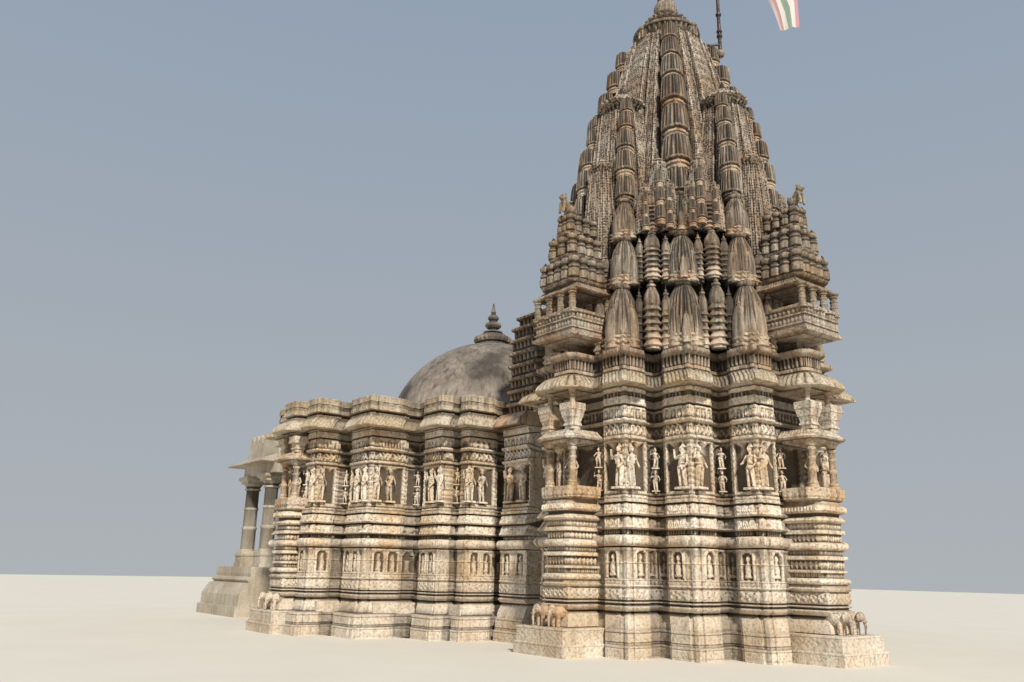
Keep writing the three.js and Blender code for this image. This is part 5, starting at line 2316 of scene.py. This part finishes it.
@dataclass
class Vestibule:
    """Link between the tower and the hall, with a tall roof block."""

    side: float = 3.13
    passage: float = 1.6

    def build(self, pieces: Pieces) -> None:
        """Builds the link.

        Args:
            pieces: Collection of finished pieces.
        """
        near = Path(
            np.array([(HALL_REAR, -self.side), (TOWER_END, -self.side)]),
            np.array([(0.0, -1.0), (0.0, -1.0)])
        )
        far = Path(
            np.array([(TOWER_END, self.side), (HALL_REAR, self.side)]), np.array([(0.0, 1.0), (0.0, 1.0)])
        )
        plinth = CarvedCourse(
            "vestibule_base", PLINTH, PLINTH_CARVING, ("vestibule_plinth",), "plinth_stone", 0.05
        )
        middle = [(TOWER_END, 0.0), (HALL_REAR, 0.0)]
        plinth.raise_on(near, middle)
        plinth.raise_on(far, middle[::-1])
        plinth.finish(pieces)
        wall = CarvedCourse(
            "vestibule_walls", hall_wall(), wall_carving(HALL_STRETCH, 0.07),
            ("vestibule_wall_near", "vestibule_wall_far"), "wall_stone", 0.05, 0.04
        )
        wall.raise_on(near, [(TOWER_END, -self.passage), (HALL_REAR, -self.passage)])
        wall.raise_on(far, [(HALL_REAR, self.passage), (TOWER_END, self.passage)])
        stand_figures(wall.surface, near, -0.25, 3.27, 0.9)
        stand_figures(wall.surface, far, -0.25, 3.27, 0.9)
        wall.finish(pieces)

        tiers = [(5.14, -0.11), (5.154, 0.18), (5.19, 0.18), (5.35, 0.08), (5.5, -0.1), (5.52, -0.3)]
        flutes = [Band(Motif.FLUTES, 5.2, 5.48, 0.11, 0.02)]
        for level in range(8):
            z = 5.55 + 0.345 * level
            lean = 0.3 + 0.012 * level + 0.05 * max(0, level - 5) ** 2
            tiers += [
                (z, -lean - 0.09), (z + 0.17, -lean - 0.08), (z + 0.19, -lean + 0.04),
                (z + 0.24, -lean + 0.05), (z + 0.29, -lean - 0.02), (z + 0.31, -lean - 0.1)
            ]
            flutes.append(Band(Motif.FLUTES, z + 0.01, z + 0.17, 0.16, 0.04))
            flutes.append(Band(Motif.GABLES, z + 0.19, z + 0.3, 0.16, 0.03))
        tiers += [(8.4, -0.9), (8.6, -1.7)]
        bands = carve(*flutes)
        roof = CarvedCourse(
            "vestibule_roof_block", tiers, bands, ("vestibule_roof",), "spire_stone", 0.035, 0.05
        )
        roof.raise_on(near, middle)
        roof.raise_on(far, middle[::-1])
        roof.finish(pieces)


# Balconies, elephants, porch and flag


def column(z0: float, z1: float, radius: float, sides: int = 14) -> Surface:
    """Models a turned column with a base, bands and a capital.

    Args:
        z0: Height of its foot.
        z1: Height of its top.
        radius: Radius of its shaft.
        sides: Points round it.

    Returns:
        Its surface, on the Z axis.
    """
    tall = z1 - z0
    profile = [
        (0.0, 1.45), (0.05, 1.45), (0.07, 1.2), (0.1, 1.35), (0.13, 1.1), (0.17, 1.0), (0.36, 0.98),
        (0.38, 1.14), (0.42, 1.14), (0.44, 0.96), (0.62, 0.92), (0.64, 1.1), (0.67, 1.1), (0.69, 0.9),
        (0.8, 0.88), (0.83, 1.2), (0.87, 1.25), (0.89, 1.0), (0.92, 1.3), (0.97, 1.6), (1.0, 1.6)
    ]
    return turned([(z0 + tall * part, radius * width) for part, width in profile], sides)


@dataclass
class LowerBalcony:
    """Shrine bay: a floor slab, two columns with figures beside them and a canopy.

    Attributes:
        column_out: Distance of the columns from the middle of the building.
        base: Top of the pedestal.
        top: Underside of the eave.
    """

    column_out: float
    base: float
    top: float

    def surface(self) -> Surface:
        """Models the bay for the +X face.

        Returns:
            Its surface.
        """
        out, back = self.column_out, self.column_out - 0.6
        made = Surface()
        floor = CarvedCourse(
            "floor",
            [
                (self.base + SEAM, -0.1), (self.base + 0.05, 0.0), (3.2, 0.0), (3.22, 0.015),
                (3.36, 0.015), (3.392, 0.0)
            ],
            carve(Band(Motif.FRIEZE, 3.17, 3.34, 0.14, 0.02)), (), "white_marble", 0.035, 0.03
        )
        floor.raise_on(Path.bay(back, out + 0.18, 0.59, 0, 0.0, 0.17))
        made.stamp(floor.surface)
        shaft = column(3.392, 4.34, 0.078)
        figure = Statue(0.035, False).surface()
        for side in (-0.37, 0.37):
            made.stamp(shaft, [Matrix.Translation((out, side, 0))])
            made.stamp(figure, [facing(out - 0.14, side * 0.62, 3.4, (1, side), 0.72)])
            for half, low, high, taper in (
                (0.12, 4.6, 4.68, 0.0), (0.15, 4.68, 4.74, 0.02), (0.12, 4.74, 4.86, -0.03),
                (0.16, 4.86, 5.02, -0.03), (0.2, 5.02, self.top - 0.3, 0.0)
            ):
                made.stamp(block(out - half, out + half, side - half, side + half, low, high, taper))
            made.stamp(
                column(self.top - 0.3, self.top - 0.001, 0.06, 10), [Matrix.Translation((out, side, 0))]
            )
        made.stamp(block(back, out + 0.11, -0.48, 0.48, 4.335, 4.4))
        canopy = CarvedCourse(
            "canopy", [(4.39, 0.0), (4.395, 0.17), (4.43, 0.19), (4.5, 0.1), (4.56, 0.03), (4.6, 0.0)],
            carve(Band(Motif.FLUTES, 4.43, 4.59, 0.07, 0.012)), (), "white_marble", 0.03, 0.04
        )
        canopy.raise_on(Path.bay(back, out + 0.15, 0.49, 0, 0.0, 0.15))
        made.stamp(canopy.surface)
        return made


@dataclass
class UpperBalcony:
    """Seat with open columns under a stepped, ribbed roof with a lion on top."""

    back: float = 2.9
    front: float = 4.1
    floor: float = 6.67

    def surface(self) -> Surface:
        """Models the balcony for the +X face.

        Returns:
            Its surface.
        """
        back, front, floor = self.back, self.front, self.floor
        made = Surface()
        parts: list[tuple[float, float, list[tuple[float, float]], list[Band]]] = [
            (
                front, 0.61,
                [(6.6103, -0.1), (6.64, -0.02), (floor, 0.06), (floor + 0.06, 0.08), (floor + 0.07, 0.0)],
                []
            ),
            (
                front - 0.06,
                0.7,
                [(7.7, -0.2), (7.705, 0.04), (7.73, 0.06), (7.8, -0.02), (7.88, -0.1), (7.93, -0.15)],
                [Band(Motif.FLUTES, 7.73, 7.92, 0.07, 0.014)]
            ),
            (
                front - 0.06,
                0.6,
                [(7.92, -0.06), (7.95, 0.0), (8.0, 0.03), (8.04, -0.1), (8.42, -0.12), (8.6, -0.2)],
                [Band(Motif.PETALS, 7.93, 8.01, 0.09, 0.016)]
            ),
            (
                front - 0.16,
                0.42,
                [(8.52, -0.06), (8.6, 0.02), (8.66, 0.04), (8.7, -0.1), (9.05, -0.12), (9.25, -0.2)],
                [Band(Motif.PETALS, 8.6, 8.67, 0.08, 0.014)]
            ),
            (
                front - 0.26,
                0.25,
                [(9.16, -0.06), (9.24, 0.02), (9.3, 0.03), (9.34, -0.1), (9.6, -0.12), (9.83, -0.2)],
                [Band(Motif.PETALS, 9.24, 9.31, 0.08, 0.014)]
            )
        ]
        for index, (reach, half, profile, bands) in enumerate(parts):
            inner = back if index < 4 else 3.45
            tier = CarvedCourse("tier", profile, carve(*bands), (), "white_marble", 0.035, 0.04)
            tier.raise_on(Path.bay(inner, reach, half, 0, 0.0, 0.12 if index > 1 else 0.0))
            made.stamp(tier.surface)
        made.stamp(self.seat())
        shaft = column(floor + 0.5, 7.71, 0.078, 14)
        for side in (-0.6, -0.2, 0.2, 0.6):
            made.stamp(shaft, [Matrix.Translation((front - 0.03, side, 0))])
        for side in (-0.58, 0.58):
            made.stamp(shaft, [Matrix.Translation((back + 0.09, side, 0))])
        pot = [
            (0.0, 0.8), (0.05, 1.0), (0.3, 1.0), (0.36, 0.8), (0.42, 0.95), (0.52, 0.8), (0.58, 0.5),
            (0.64, 0.86), (0.72, 1.0), (0.8, 0.9), (0.86, 0.4), (0.92, 0.3), (1.0, 0.04)
        ]
        shape = turned(pot, 16, 8, 0.2)
        for z, out, half, size, high in (
            (8.03, 3.94, 0.5, 0.13, 0.62), (8.69, 3.84, 0.33, 0.12, 0.58), (9.33, 3.74, 0.16, 0.1, 0.5)
        ):
            row = np.linspace(-half, half, 5 if half > 0.4 else 3)
            places = [(out, y) for y in row]
            places += [
                (x, y) for y in (-half, half) for x in np.arange(out - 2 * size - 0.02, 2.95, -0.25)
            ]
            for x, y in places:
                made.stamp(
                    shape, [Matrix.Translation((x, y, z)) @ Matrix.Diagonal((size, size, high, 1))]
                )
        made.stamp(lion(), [facing(3.74, 0.0, 9.8, (1, 0), 0.5)])
        return made

    def seat(self) -> Surface:
        """Models the seat back round the front, with a rail over carved panels.

        Returns:
            Its surface.
        """
        made = Surface()
        low, high = self.floor + 0.05, 7.26
        outer = Path.bay(self.back, self.front, 0.62, 0)
        columns = outer.columns(0.03)
        profile = [
            (low, 0.0), (low + 0.1, 0.0), (low + 0.11, 0.03), (low + 0.14, 0.03), (low + 0.15, 0.0),
            (low + 0.3, 0.0), (low + 0.31, 0.035), (low + 0.34, 0.035), (low + 0.35, 0.01),
            (high - 0.07, 0.02), (high - 0.06, 0.055), (high, 0.06)
        ]
        heights, offsets = sample(profile, 0.03)
        relief = carve(
            Band(Motif.LOZENGES, low + 0.16, low + 0.29, 0.1, 0.02),
            Band(Motif.FRIEZE, low + 0.36, high - 0.08, 0.11, 0.028)
        )
        front, depth = columns.rows(heights, offsets, relief)
        back = columns.rows(heights[::-1], offsets[::-1] - 0.1, None)[0]
        rows = np.concatenate([front, back])
        made.grid(rows, False, np.concatenate([sink(depth), np.zeros(back.shape[:2])]))
        return made


@dataclass
class Bays:
    """Balconies and elephants of the tower's three free faces and the hall's two.

    Attributes:
        columns: Distance of the lower columns from the middle of the tower, and from that of the hall.
        beasts: Distances of the elephants in the same way.
        ledge: Height of the ledge that the elephants stand on.
    """

    columns: tuple[float, float] = (3.86, 6.66)
    beasts: tuple[float, float] = (4.1, 6.83)
    ledge: float = 0.546

    def build(self, pieces: Pieces) -> None:
        """Builds them.

        Args:
            pieces: Collection of finished pieces.
        """
        # quarter turns from +X
        faces = (("rear", 0), ("far", 1), ("near", 3))
        lower = LowerBalcony(self.columns[0], PEDESTAL_TOP, TOWER_WALL_TOP).surface()
        upper = UpperBalcony().surface()
        hall_lower = LowerBalcony(self.columns[1], HALL_PEDESTAL_TOP, HALL_WALL_TOP).surface()
        pair = moved(
            elephant(), *(facing(0.0, side, self.ledge, (1, 0.12 * side), 0.45) for side in (-0.26, 0.22))
        )
        tower = (
            (lower, 0.0, "shrine_bay_", "lower_balcony_"), (upper, 0.0, "balcony_", "upper_balcony_"),
            (pair, self.beasts[0], "elephants_", "tower_elephants_")
        )
        hall = (
            (hall_lower, 0.0, "hall_shrine_bay_", "hall_balcony_"),
            (pair, self.beasts[1], "elephants_hall_", "hall_elephants_")
        )
        for centre, sides, kinds in ((0.0, faces, tower), (HALL_X, faces[1:], hall)):
            for side, turns in sides:
                turn = Matrix.Translation((centre, 0, 0)) @ Matrix.Rotation(turns * math.pi / 2, 4, "Z")
                for shape, out, name, solid in kinds:
                    made = moved(shape, turn @ Matrix.Translation((out, 0, 0)))
                    pieces.take(made, name + side, "white_marble", (solid + side,))


@dataclass
class Crown:
    """Ribbed disc, small dome and pot on top of the spire."""

    seat: float = 15.94

    def build(self, pieces: Pieces) -> None:
        """Builds the crown.

        Args:
            pieces: Collection of finished pieces.
        """
        s = self.seat + 0.0103
        ribs = [
            (s, 0.6), (s + 0.04, 0.63), (s + 0.08, 0.74), (s + 0.14, 0.8), (s + 0.2, 0.83),
            (s + 0.26, 0.85), (s + 0.27, 0.7)
        ]
        rim = [
            (s + 0.27, 0.7), (s + 0.275, 0.92), (s + 0.3, 0.935), (s + 0.34, 0.935), (s + 0.36, 0.9),
            (s + 0.42, 0.8), (s + 0.5, 0.66), (s + 0.57, 0.56), (s + 0.65, 0.46)
        ]
        disc = merged(turned(ribs, 144, 36, 0.13), turned(rim, 72))
        pieces.take(disc, "ribbed_disc", "spire_stone", ("amalaka",))
        c = s + 0.6505
        petals = [(c, 0.42), (c + 0.03, 0.5), (c + 0.1, 0.56), (c + 0.16, 0.5), (c + 0.18, 0.36)]
        dome = [
            (c + 0.17, 0.33), (c + 0.21, 0.36), (c + 0.26, 0.36), (c + 0.29, 0.27), (c + 0.36, 0.29),
            (c + 0.44, 0.315), (c + 0.54, 0.33), (c + 0.64, 0.325), (c + 0.74, 0.29), (c + 0.82, 0.24),
            (c + 0.87, 0.2), (c + 0.89, 0.22), (c + 0.93, 0.22), (c + 0.95, 0.13), (c + 1.05, 0.09)
        ]
        cap = merged(turned(petals, 88, 22, 0.3), turned(dome, 36))
        pieces.take(cap, "white_cap", "white_marble", ("crown_dome",))
        p = c + 1.0505
        pot = [
            (p, 0.085), (p + 0.03, 0.13), (p + 0.06, 0.15), (p + 0.09, 0.08), (p + 0.12, 0.075),
            (p + 0.16, 0.12), (p + 0.21, 0.16), (p + 0.27, 0.17), (p + 0.33, 0.155), (p + 0.38, 0.1),
            (p + 0.42, 0.06), (p + 0.45, 0.09), (p + 0.48, 0.085), (p + 0.53, 0.05), (p + 0.62, 0.02)
        ]
        pieces.take(turned(pot, 28), "cap_finial", "white_marble", ("crown_finial",))


@dataclass
class Flag:
    """Iron pole with an arm, clamps and a striped flag.

    Attributes:
        reach: Place of the pole along X and Y.
        radius: Radius of the pole.
        foot: Height of the stone ball under it.
        top: Height of its top.
        bearing: Direction in which the flag flies, degrees from +X toward +Y.
    """

    reach: float = 1.04
    radius: float = 0.042
    foot: float = 15.5503
    top: float = 19.35
    bearing: float = 52.8

    def build(self, pieces: Pieces) -> None:
        """Builds the pole and the flag.

        Args:
            pieces: Collection of finished pieces.
        """
        place = Matrix.Translation((self.reach, self.reach, 0))
        foot, top = self.foot, self.top
        pole = Surface()
        rings = [(foot + 0.2, self.radius * 1.2), (top, self.radius)]
        pole.stamp(turned(rings, 20), [place])
        for z in (16.2, 16.35, 16.9, 17.8, 18.6):
            clamp = [(z, 0.04), (z + 0.005, 0.078), (z + 0.06, 0.078), (z + 0.065, 0.04)]
            pole.stamp(turned(clamp, 16), [place])
        pole.stamp(
            turned(
                [(top - 0.005, 0.055), (top + 0.03, 0.075), (top + 0.07, 0.06), (top + 0.11, 0.015)], 16
            ),
            [place]
        )
        arm = block(0.72, self.reach * math.sqrt(2), -0.03, 0.03, 15.9403, 15.9853)
        pole.stamp(arm, [Matrix.Rotation(math.pi / 4, 4, "Z")])
        ball_of_stone = turned(
            [
                (foot, 0.05), (foot + 0.04, 0.1), (foot + 0.11, 0.125), (foot + 0.18, 0.11),
                (foot + 0.23, 0.07)
            ],
            20
        )
        pieces.take(pole, "iron_pole", "pole_paint", ("flagpole",))
        pieces.take(moved(ball_of_stone, place), "pole_foot_ball", "white_marble")
        self.cloth(pieces)

    def cloth(self, pieces: Pieces) -> None:
        """Builds the flag, which droops from its outer end in long folds.

        Args:
            pieces: Collection of finished pieces.
        """
        wide, tall = 90, 24
        u = np.linspace(0, 1, wide)[None, :]
        v = np.linspace(0, 1, tall)[:, None]
        low_out = np.interp(u, [0, 0.33, 0.48, 0.56, 1], [0.02, 1.0, 1.34, 1.46, 1.68])
        low_z = np.interp(u, [0, 0.33, 0.48, 0.56, 1], [18.32, 18.22, 17.7, 17.3, 16.46])
        top_out = np.interp(u, [0, 0.3, 0.46, 0.62, 0.8, 1], [0.0, 1.0, 1.54, 2.05, 2.26, 2.25])
        top_z = np.interp(u, [0, 0.3, 0.46, 0.62, 0.8, 1], [19.12, 19.1, 18.88, 18.28, 17.5, 16.63])
        out = low_out * (1 - v) + top_out * v
        z = low_z * (1 - v) + top_z * v
        fold = 0.045 * np.sin(v * 9 + u * 6.0) * np.clip(u * 3, 0, 1)
        angle = math.radians(self.bearing)
        along = out + self.radius
        x = self.reach + along * math.cos(angle) - fold * math.sin(angle)
        y = self.reach + along * math.sin(angle) + fold * math.cos(angle)
        rows = np.stack(np.broadcast_arrays(x, y, z), axis=2)
        sheet = Surface()
        sheet.grid(rows, False)
        made = sheet.build("striped_flag", 180)
        made.data.materials.append(pieces.materials["flag_cloth"])
        layer = made.data.attributes.new("across", "FLOAT", "POINT")
        across = np.broadcast_to(v, (tall, wide))
        layer.data.foreach_set("value", across.astype(np.float32).ravel())
        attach(made, "root")
        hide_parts("flag")


@dataclass
class Porch:
    """Columns of the open porch, whose other solids keep their shape.

    Attributes:
        front: X of the front row.
        second: X of the row behind.
        floor: Height of the porch's floor.
    """

    front: float = -17.0
    second: float = -15.2
    floor: float = 1.6

    def build(self, pieces: Pieces) -> None:
        """Builds the columns over those of the part.

        Args:
            pieces: Collection of finished pieces.
        """
        places = {
            "front_near": (self.front, -4.3), "front_far": (self.front, 4.3),
            "rear_near": (self.second, -4.3), "rear_far": (self.second, 4.3),
            "door_near": (self.front, -1.5), "door_far": (self.front, 1.5)
        }
        shape = self.column()
        for place, (x, y) in places.items():
            made = moved(shape, Matrix.Translation((x, y, 0)))
            pieces.take(made, f"column_{place}", "porch_stone", (f"porch_column_{place}",))

    def column(self) -> Surface:
        """Models an eight-sided column with a square base and bracket capital.

        Returns:
            Its surface, on the Z axis.
        """
        f = self.floor + SEAM
        shaft = [
            (f + 0.54, 0.27), (f + 0.6, 0.27), (f + 0.62, 0.25), (2.9, 0.245), (2.93, 0.27), (3.0, 0.27),
            (3.03, 0.24), (3.6, 0.235), (3.63, 0.262), (3.68, 0.262), (3.71, 0.232), (4.3, 0.228),
            (4.33, 0.28), (4.38, 0.29), (4.41, 0.235), (4.5, 0.31), (4.56, 0.33)
        ]
        squares = [
            block(-half, half, -half, half, low, high, taper)
            for half, low, high, taper in (
                (0.33, f, f + 0.12, 0.0), (0.3, f + 0.12, f + 0.38, 0.0),
                (0.325, f + 0.38, f + 0.44, 0.0), (0.29, f + 0.44, f + 0.56, 0.03),
                (0.33, 4.55, 4.62, 0.0), (0.33, 4.62, 4.7, -0.09), (0.42, 4.7, 4.7997, 0.0)
            )
        ]
        return merged(*squares[:4], turned(shaft, 8), *squares[4:])


@dataclass
class Studio:
    """Camera, light and floor.

    Attributes:
        place: Where the camera stands.
        forward: Direction in plan that it looks.
        pitch: How far it looks up, in degrees.
        roll: Its roll in degrees.
        lens: Focal length in millimetres on a 36 mm sensor.
        sun: Strength of the key light.
        toward: Direction from the building to the key light.
        sky: Strength of the light from all round.
        floor: Half the width of the floor.
    """

    place: tuple[float, float, float] = (13.84, -15.78, 1.6)
    forward: tuple[float, float] = (-0.7964, 0.6047)
    pitch: float = 15.446
    roll: float = 1.175
    lens: float = 29.42
    sun: float = 4.2
    toward: tuple[float, float, float] = (0.8, -0.34, 0.6)
    sky: float = 0.6
    floor: float = 120.0

    def build(self) -> None:
        """Sets the camera, the lights, the world and the floor."""
        scene = bpy.context.scene
        ahead = Vector((*self.forward, 0.0)).normalized()
        right = Vector((self.forward[1], -self.forward[0], 0.0)).normalized()
        tilt, turn = math.radians(self.pitch), math.radians(self.roll)
        look = ahead * math.cos(tilt) + Vector((0, 0, math.sin(tilt)))
        up = ahead * -math.sin(tilt) + Vector((0, 0, math.cos(tilt)))
        x_axis = right * math.cos(turn) + up * math.sin(turn)
        y_axis = right * -math.sin(turn) + up * math.cos(turn)
        camera = bpy.data.objects.new("camera", bpy.data.cameras.new("camera"))
        camera.data.lens = self.lens
        camera.data.sensor_width = 36.0
        camera.data.clip_end = 500.0
        frame_axes = Matrix((x_axis, y_axis, -look)).transposed().to_4x4()
        camera.matrix_world = Matrix.Translation(self.place) @ frame_axes
        scene.collection.objects.link(camera)
        scene.camera = camera

        sun = bpy.data.objects.new("key_light", bpy.data.lights.new("key_light", "SUN"))
        sun.data.energy = self.sun
        sun.data.angle = math.radians(4.0)
        sun.data.color = (1.0, 0.93, 0.82)
        sun.rotation_euler = Vector(self.toward).to_track_quat("Z", "Y").to_euler()
        scene.collection.objects.link(sun)

        world = bpy.data.worlds.new("studio")
        world.use_nodes = True
        tree = world.node_tree
        tree.nodes.clear()
        place = add(tree, "ShaderNodeTexCoord", out="Generated")
        height = add(tree, "ShaderNodeSeparateXYZ", {0: place}, out="Z")
        rise = add(tree, "ShaderNodeMapRange", {0: height, 1: -0.1, 2: 0.6})
        sky = blend(tree, rise, linear("#dfe3e6"), linear("#b9cbe0"))
        glow = add(tree, "ShaderNodeBackground", {"Color": sky, "Strength": self.sky})
        add(tree, "ShaderNodeOutputWorld", {0: glow})
        scene.world = world
        scene.view_settings.view_transform = "Standard"

        mesh = bpy.data.meshes.new("floor")
        size = self.floor
        corners = [(-size, -size, 0), (size, -size, 0), (size, size, 0), (-size, size, 0)]
        mesh.from_pydata(corners, [], [(0, 1, 2, 3)])
        ground = bpy.data.objects.new("floor", mesh)
        material, tree = blank("pale_floor")
        place = add(tree, "ShaderNodeTexCoord", out="Object")
        cloud = add(tree, "ShaderNodeTexNoise", {"Vector": place, "Scale": 0.5, "Detail": 4.0})
        shade = blend(tree, cloud, linear("#d9d2c4"), linear("#e2dccf"))
        shader = add(
            tree, "ShaderNodeBsdfPrincipled", {"Base Color": shade, "Roughness": 0.9, "IOR": 1.45}
        )
        add(tree, "ShaderNodeOutputMaterial", {0: shader})
        mesh.materials.append(material)
        scene.collection.objects.link(ground)


def dress(materials: dict[str, bpy.types.Material]) -> None:
    """Gives every solid of the part the better material of its slot.

    Args:
        materials: Material of each slot of the record.
    """
    for entry in frame["record"]["subparts"]:
        part = frame["nodes"].get(entry["node"])
        if part is None:
            continue
        part.data.materials.clear()
        part.data.materials.append(materials[entry["material_slot"]])


def main() -> None:
    """Builds the whole scene in order."""
    logging.basicConfig(level=logging.INFO, format="%(name)s %(message)s")
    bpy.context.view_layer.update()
    materials = {
        "wall_stone": WALL_STONE.build(), "plinth_stone": PLINTH_STONE.build(),
        "eave_stone": EAVE_STONE.build(), "spire_stone": SPIRE_STONE.build(),
        "pierced_stone": LATTICE_STONE.build(), "dome_plaster": PLASTER.build(),
        "white_marble": MARBLE.build(), "porch_stone": PORCH_STONE.build(), "pole_paint": IRON.build(),
        "flag_cloth": FLAG_CLOTH.build()
    }
    dress(materials)
    pieces = Pieces(materials)
    Tower().build(pieces)
    Spire().build(pieces)
    Crown().build(pieces)
    Hall().build(pieces)
    Vestibule().build(pieces)
    Bays().build(pieces)
    Porch().build(pieces)
    Flag().build(pieces)
    Studio().build()
    log.info("all pieces: %d triangles", pieces.total)
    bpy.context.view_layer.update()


if __name__ == "__main__":
    main()
